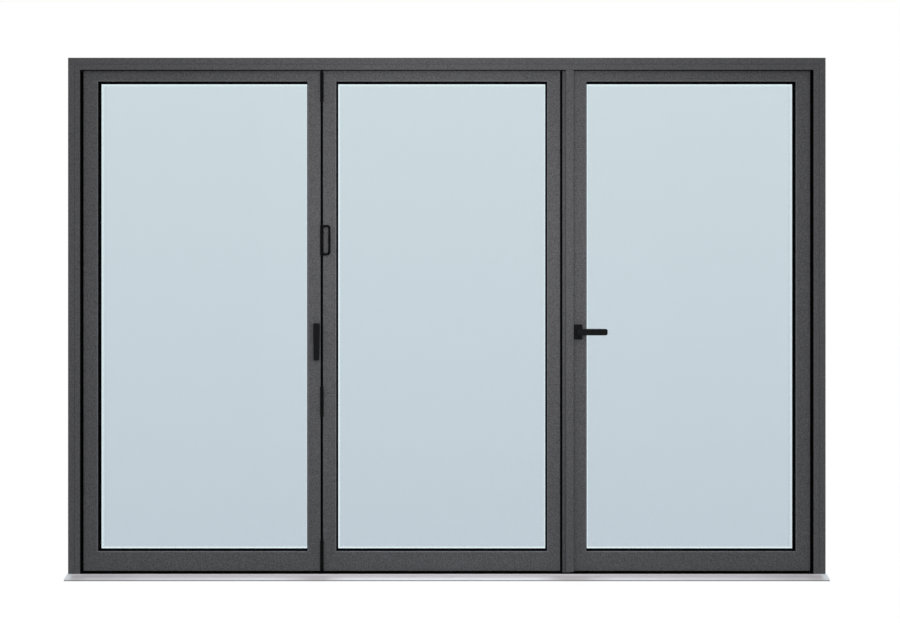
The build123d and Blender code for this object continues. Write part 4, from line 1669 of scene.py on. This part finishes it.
@dataclass(frozen=True)
class SoftLamp:
    """A soft rectangular lamp, unseen itself."""

    name: str
    place: Point
    aim: Point
    size: Span
    power: float
    spread: float
    colour: Point = (1.0, 0.995, 0.985)

    def hang(self) -> None:
        """Add the lamp to the scene, facing its aim."""
        data = bpy.data.lights.new(self.name, "AREA")
        data.shape = "RECTANGLE"
        data.size, data.size_y = self.size
        data.energy, data.spread = self.power, math.radians(self.spread)
        data.color = self.colour
        lamp = bpy.data.objects.new(self.name, data)
        lamp.location = self.place
        facing = Vector(self.aim) - Vector(self.place)
        lamp.rotation_euler = facing.to_track_quat("-Z", "Y").to_euler()
        lamp.visible_camera = lamp.visible_glossy = lamp.visible_transmission = False
        bpy.context.scene.collection.objects.link(lamp)


@dataclass
class Studio:
    """A plain white studio: floor, even light, soft lamps, a card and the camera."""

    camera_place: Point = (0.0126, -4.240, 1.059)
    lens: float = 42.44
    sensor: float = 36.0
    clip: Span = (0.05, 200.0)
    room_light: float = 0.82
    room_colour: Colour = (0.985, 0.99, 1.0, 1.0)
    floor_size: float = 60.0
    floor_height: float = -0.0005
    floor_colour: Colour = (0.5, 0.5, 0.5, 1.0)
    floor_lift: float = 0.12
    floor_white: float = 0.84
    card_low: Point = (-1.273, -3.0, 0.091)
    card_high: Point = (1.469, -3.0, 2.9)
    card_strength: float = 1.12
    lamps: Sequence[SoftLamp] = (
        SoftLamp("front_lamp", (0.0, -1.72, 1.42), (0.0, 0.0, 1.42), (0.9, 0.9), 6.3, 105.0),
        SoftLamp("rear_lamp", (0.0, 1.0, 2.9), (0.0, -0.06, 0.01), (1.7, 0.5), 24.0, 80.0),
    )

    @staticmethod
    def shown_rays(sheet: NodeSheet, *kinds: str) -> Socket:
        """Find one for rays of the named kinds, nought for the rest."""
        path = sheet.add("LightPath").outputs
        rays = [path[f"Is {kind} Ray"] for kind in kinds]
        return rays[0] if len(rays) == 1 else sheet.math("MAXIMUM", *rays)

    def surroundings(self) -> None:
        """Set the even light, and white wherever the backdrop itself is seen."""
        world = bpy.data.worlds.new("white_studio")
        world.use_nodes = True
        bpy.context.scene.world = world
        sheet = NodeSheet(world.node_tree)
        lit = {"Color": self.room_colour, "Strength": self.room_light}
        even = sheet.add("Background", lit).outputs[0]
        white = sheet.add("Background", {"Color": WHITE, "Strength": 1.0}).outputs[0]
        shown = self.shown_rays(sheet, "Camera", "Glossy", "Transmission")
        sheet.add("OutputWorld", {"Surface": sheet.mix(shown, even, white)})

    def floor(self) -> None:
        """Lay a pale floor that keeps the door's shadow."""
        place, size = (0.0, 0.0, self.floor_height), (self.floor_size, self.floor_size)
        floor = Workpiece.sheet("studio_floor", place, size, FLAT).done()
        sheet = MaterialSheet("pale_floor")
        matt = sheet.add("BsdfDiffuse", {"Color": self.floor_colour}).outputs[0]
        seen = self.shown_rays(sheet, "Camera")
        through = self.shown_rays(sheet, "Glossy", "Transmission")
        strength = sheet.math("ADD", 1.0, sheet.math("MULTIPLY", seen, self.floor_lift))
        white = sheet.add("Emission", {"Color": WHITE, "Strength": strength}).outputs[0]
        share = sheet.math("MAXIMUM", sheet.math("MULTIPLY", seen, self.floor_white), through)
        floor.data.materials.append(sheet.show(sheet.mix(share, matt, white)))

    def card(self) -> None:
        """Stand a pale card in the room that shows only as a faint reflection in the glass."""
        low, high = Vector(self.card_low), Vector(self.card_high)
        size = (high.x - low.x, high.z - low.z)
        card = Workpiece.sheet("studio_card", (low + high) / 2, size).done()
        sheet = MaterialSheet("pale_card")
        glow = sheet.add("Emission", {"Color": WHITE, "Strength": self.card_strength})
        card.data.materials.append(sheet.show(glow.outputs[0]))
        card.visible_camera = card.visible_diffuse = False
        card.visible_transmission = card.visible_shadow = False

    def camera(self) -> None:
        """Stand the camera in front, level, a little right of the middle."""
        data = bpy.data.cameras.new("front_camera")
        data.lens, data.sensor_width = self.lens, self.sensor
        data.clip_start, data.clip_end = self.clip
        camera = bpy.data.objects.new("front_camera", data)
        camera.location = self.camera_place
        camera.rotation_euler = UPRIGHT
        bpy.context.scene.collection.objects.link(camera)
        bpy.context.scene.camera = camera

    def build(self) -> None:
        """Set up the studio."""
        bpy.context.scene.view_settings.view_transform = "Standard"
        self.camera()
        self.surroundings()
        self.floor()
        self.card()
        for lamp in self.lamps:
            lamp.hang()


def main() -> None:
    """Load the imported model, dress it piece by piece and set up the studio."""
    logging.basicConfig(level=logging.INFO, format="%(name)s: %(message)s")
    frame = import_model()
    palette = Palette(frame["nodes"])
    OuterFrame(palette).build()
    pair = ("left_leaf", "middle_leaf")
    Glazing(palette, "fold_pair", pair, Body.FRAME, "fold_pair_spacers").build()
    Glazing(palette, "door_leaf", ("door_leaf",), Body.LEAF, "door_leaf_spacer").build()
    FoldJoint(palette).build()
    MeetingMullion(palette).build()
    JambHinges(palette).build()
    BoltHandle(palette).build()
    LeverSet(palette).build()
    Studio().build()


if __name__ == "__main__":
    main()
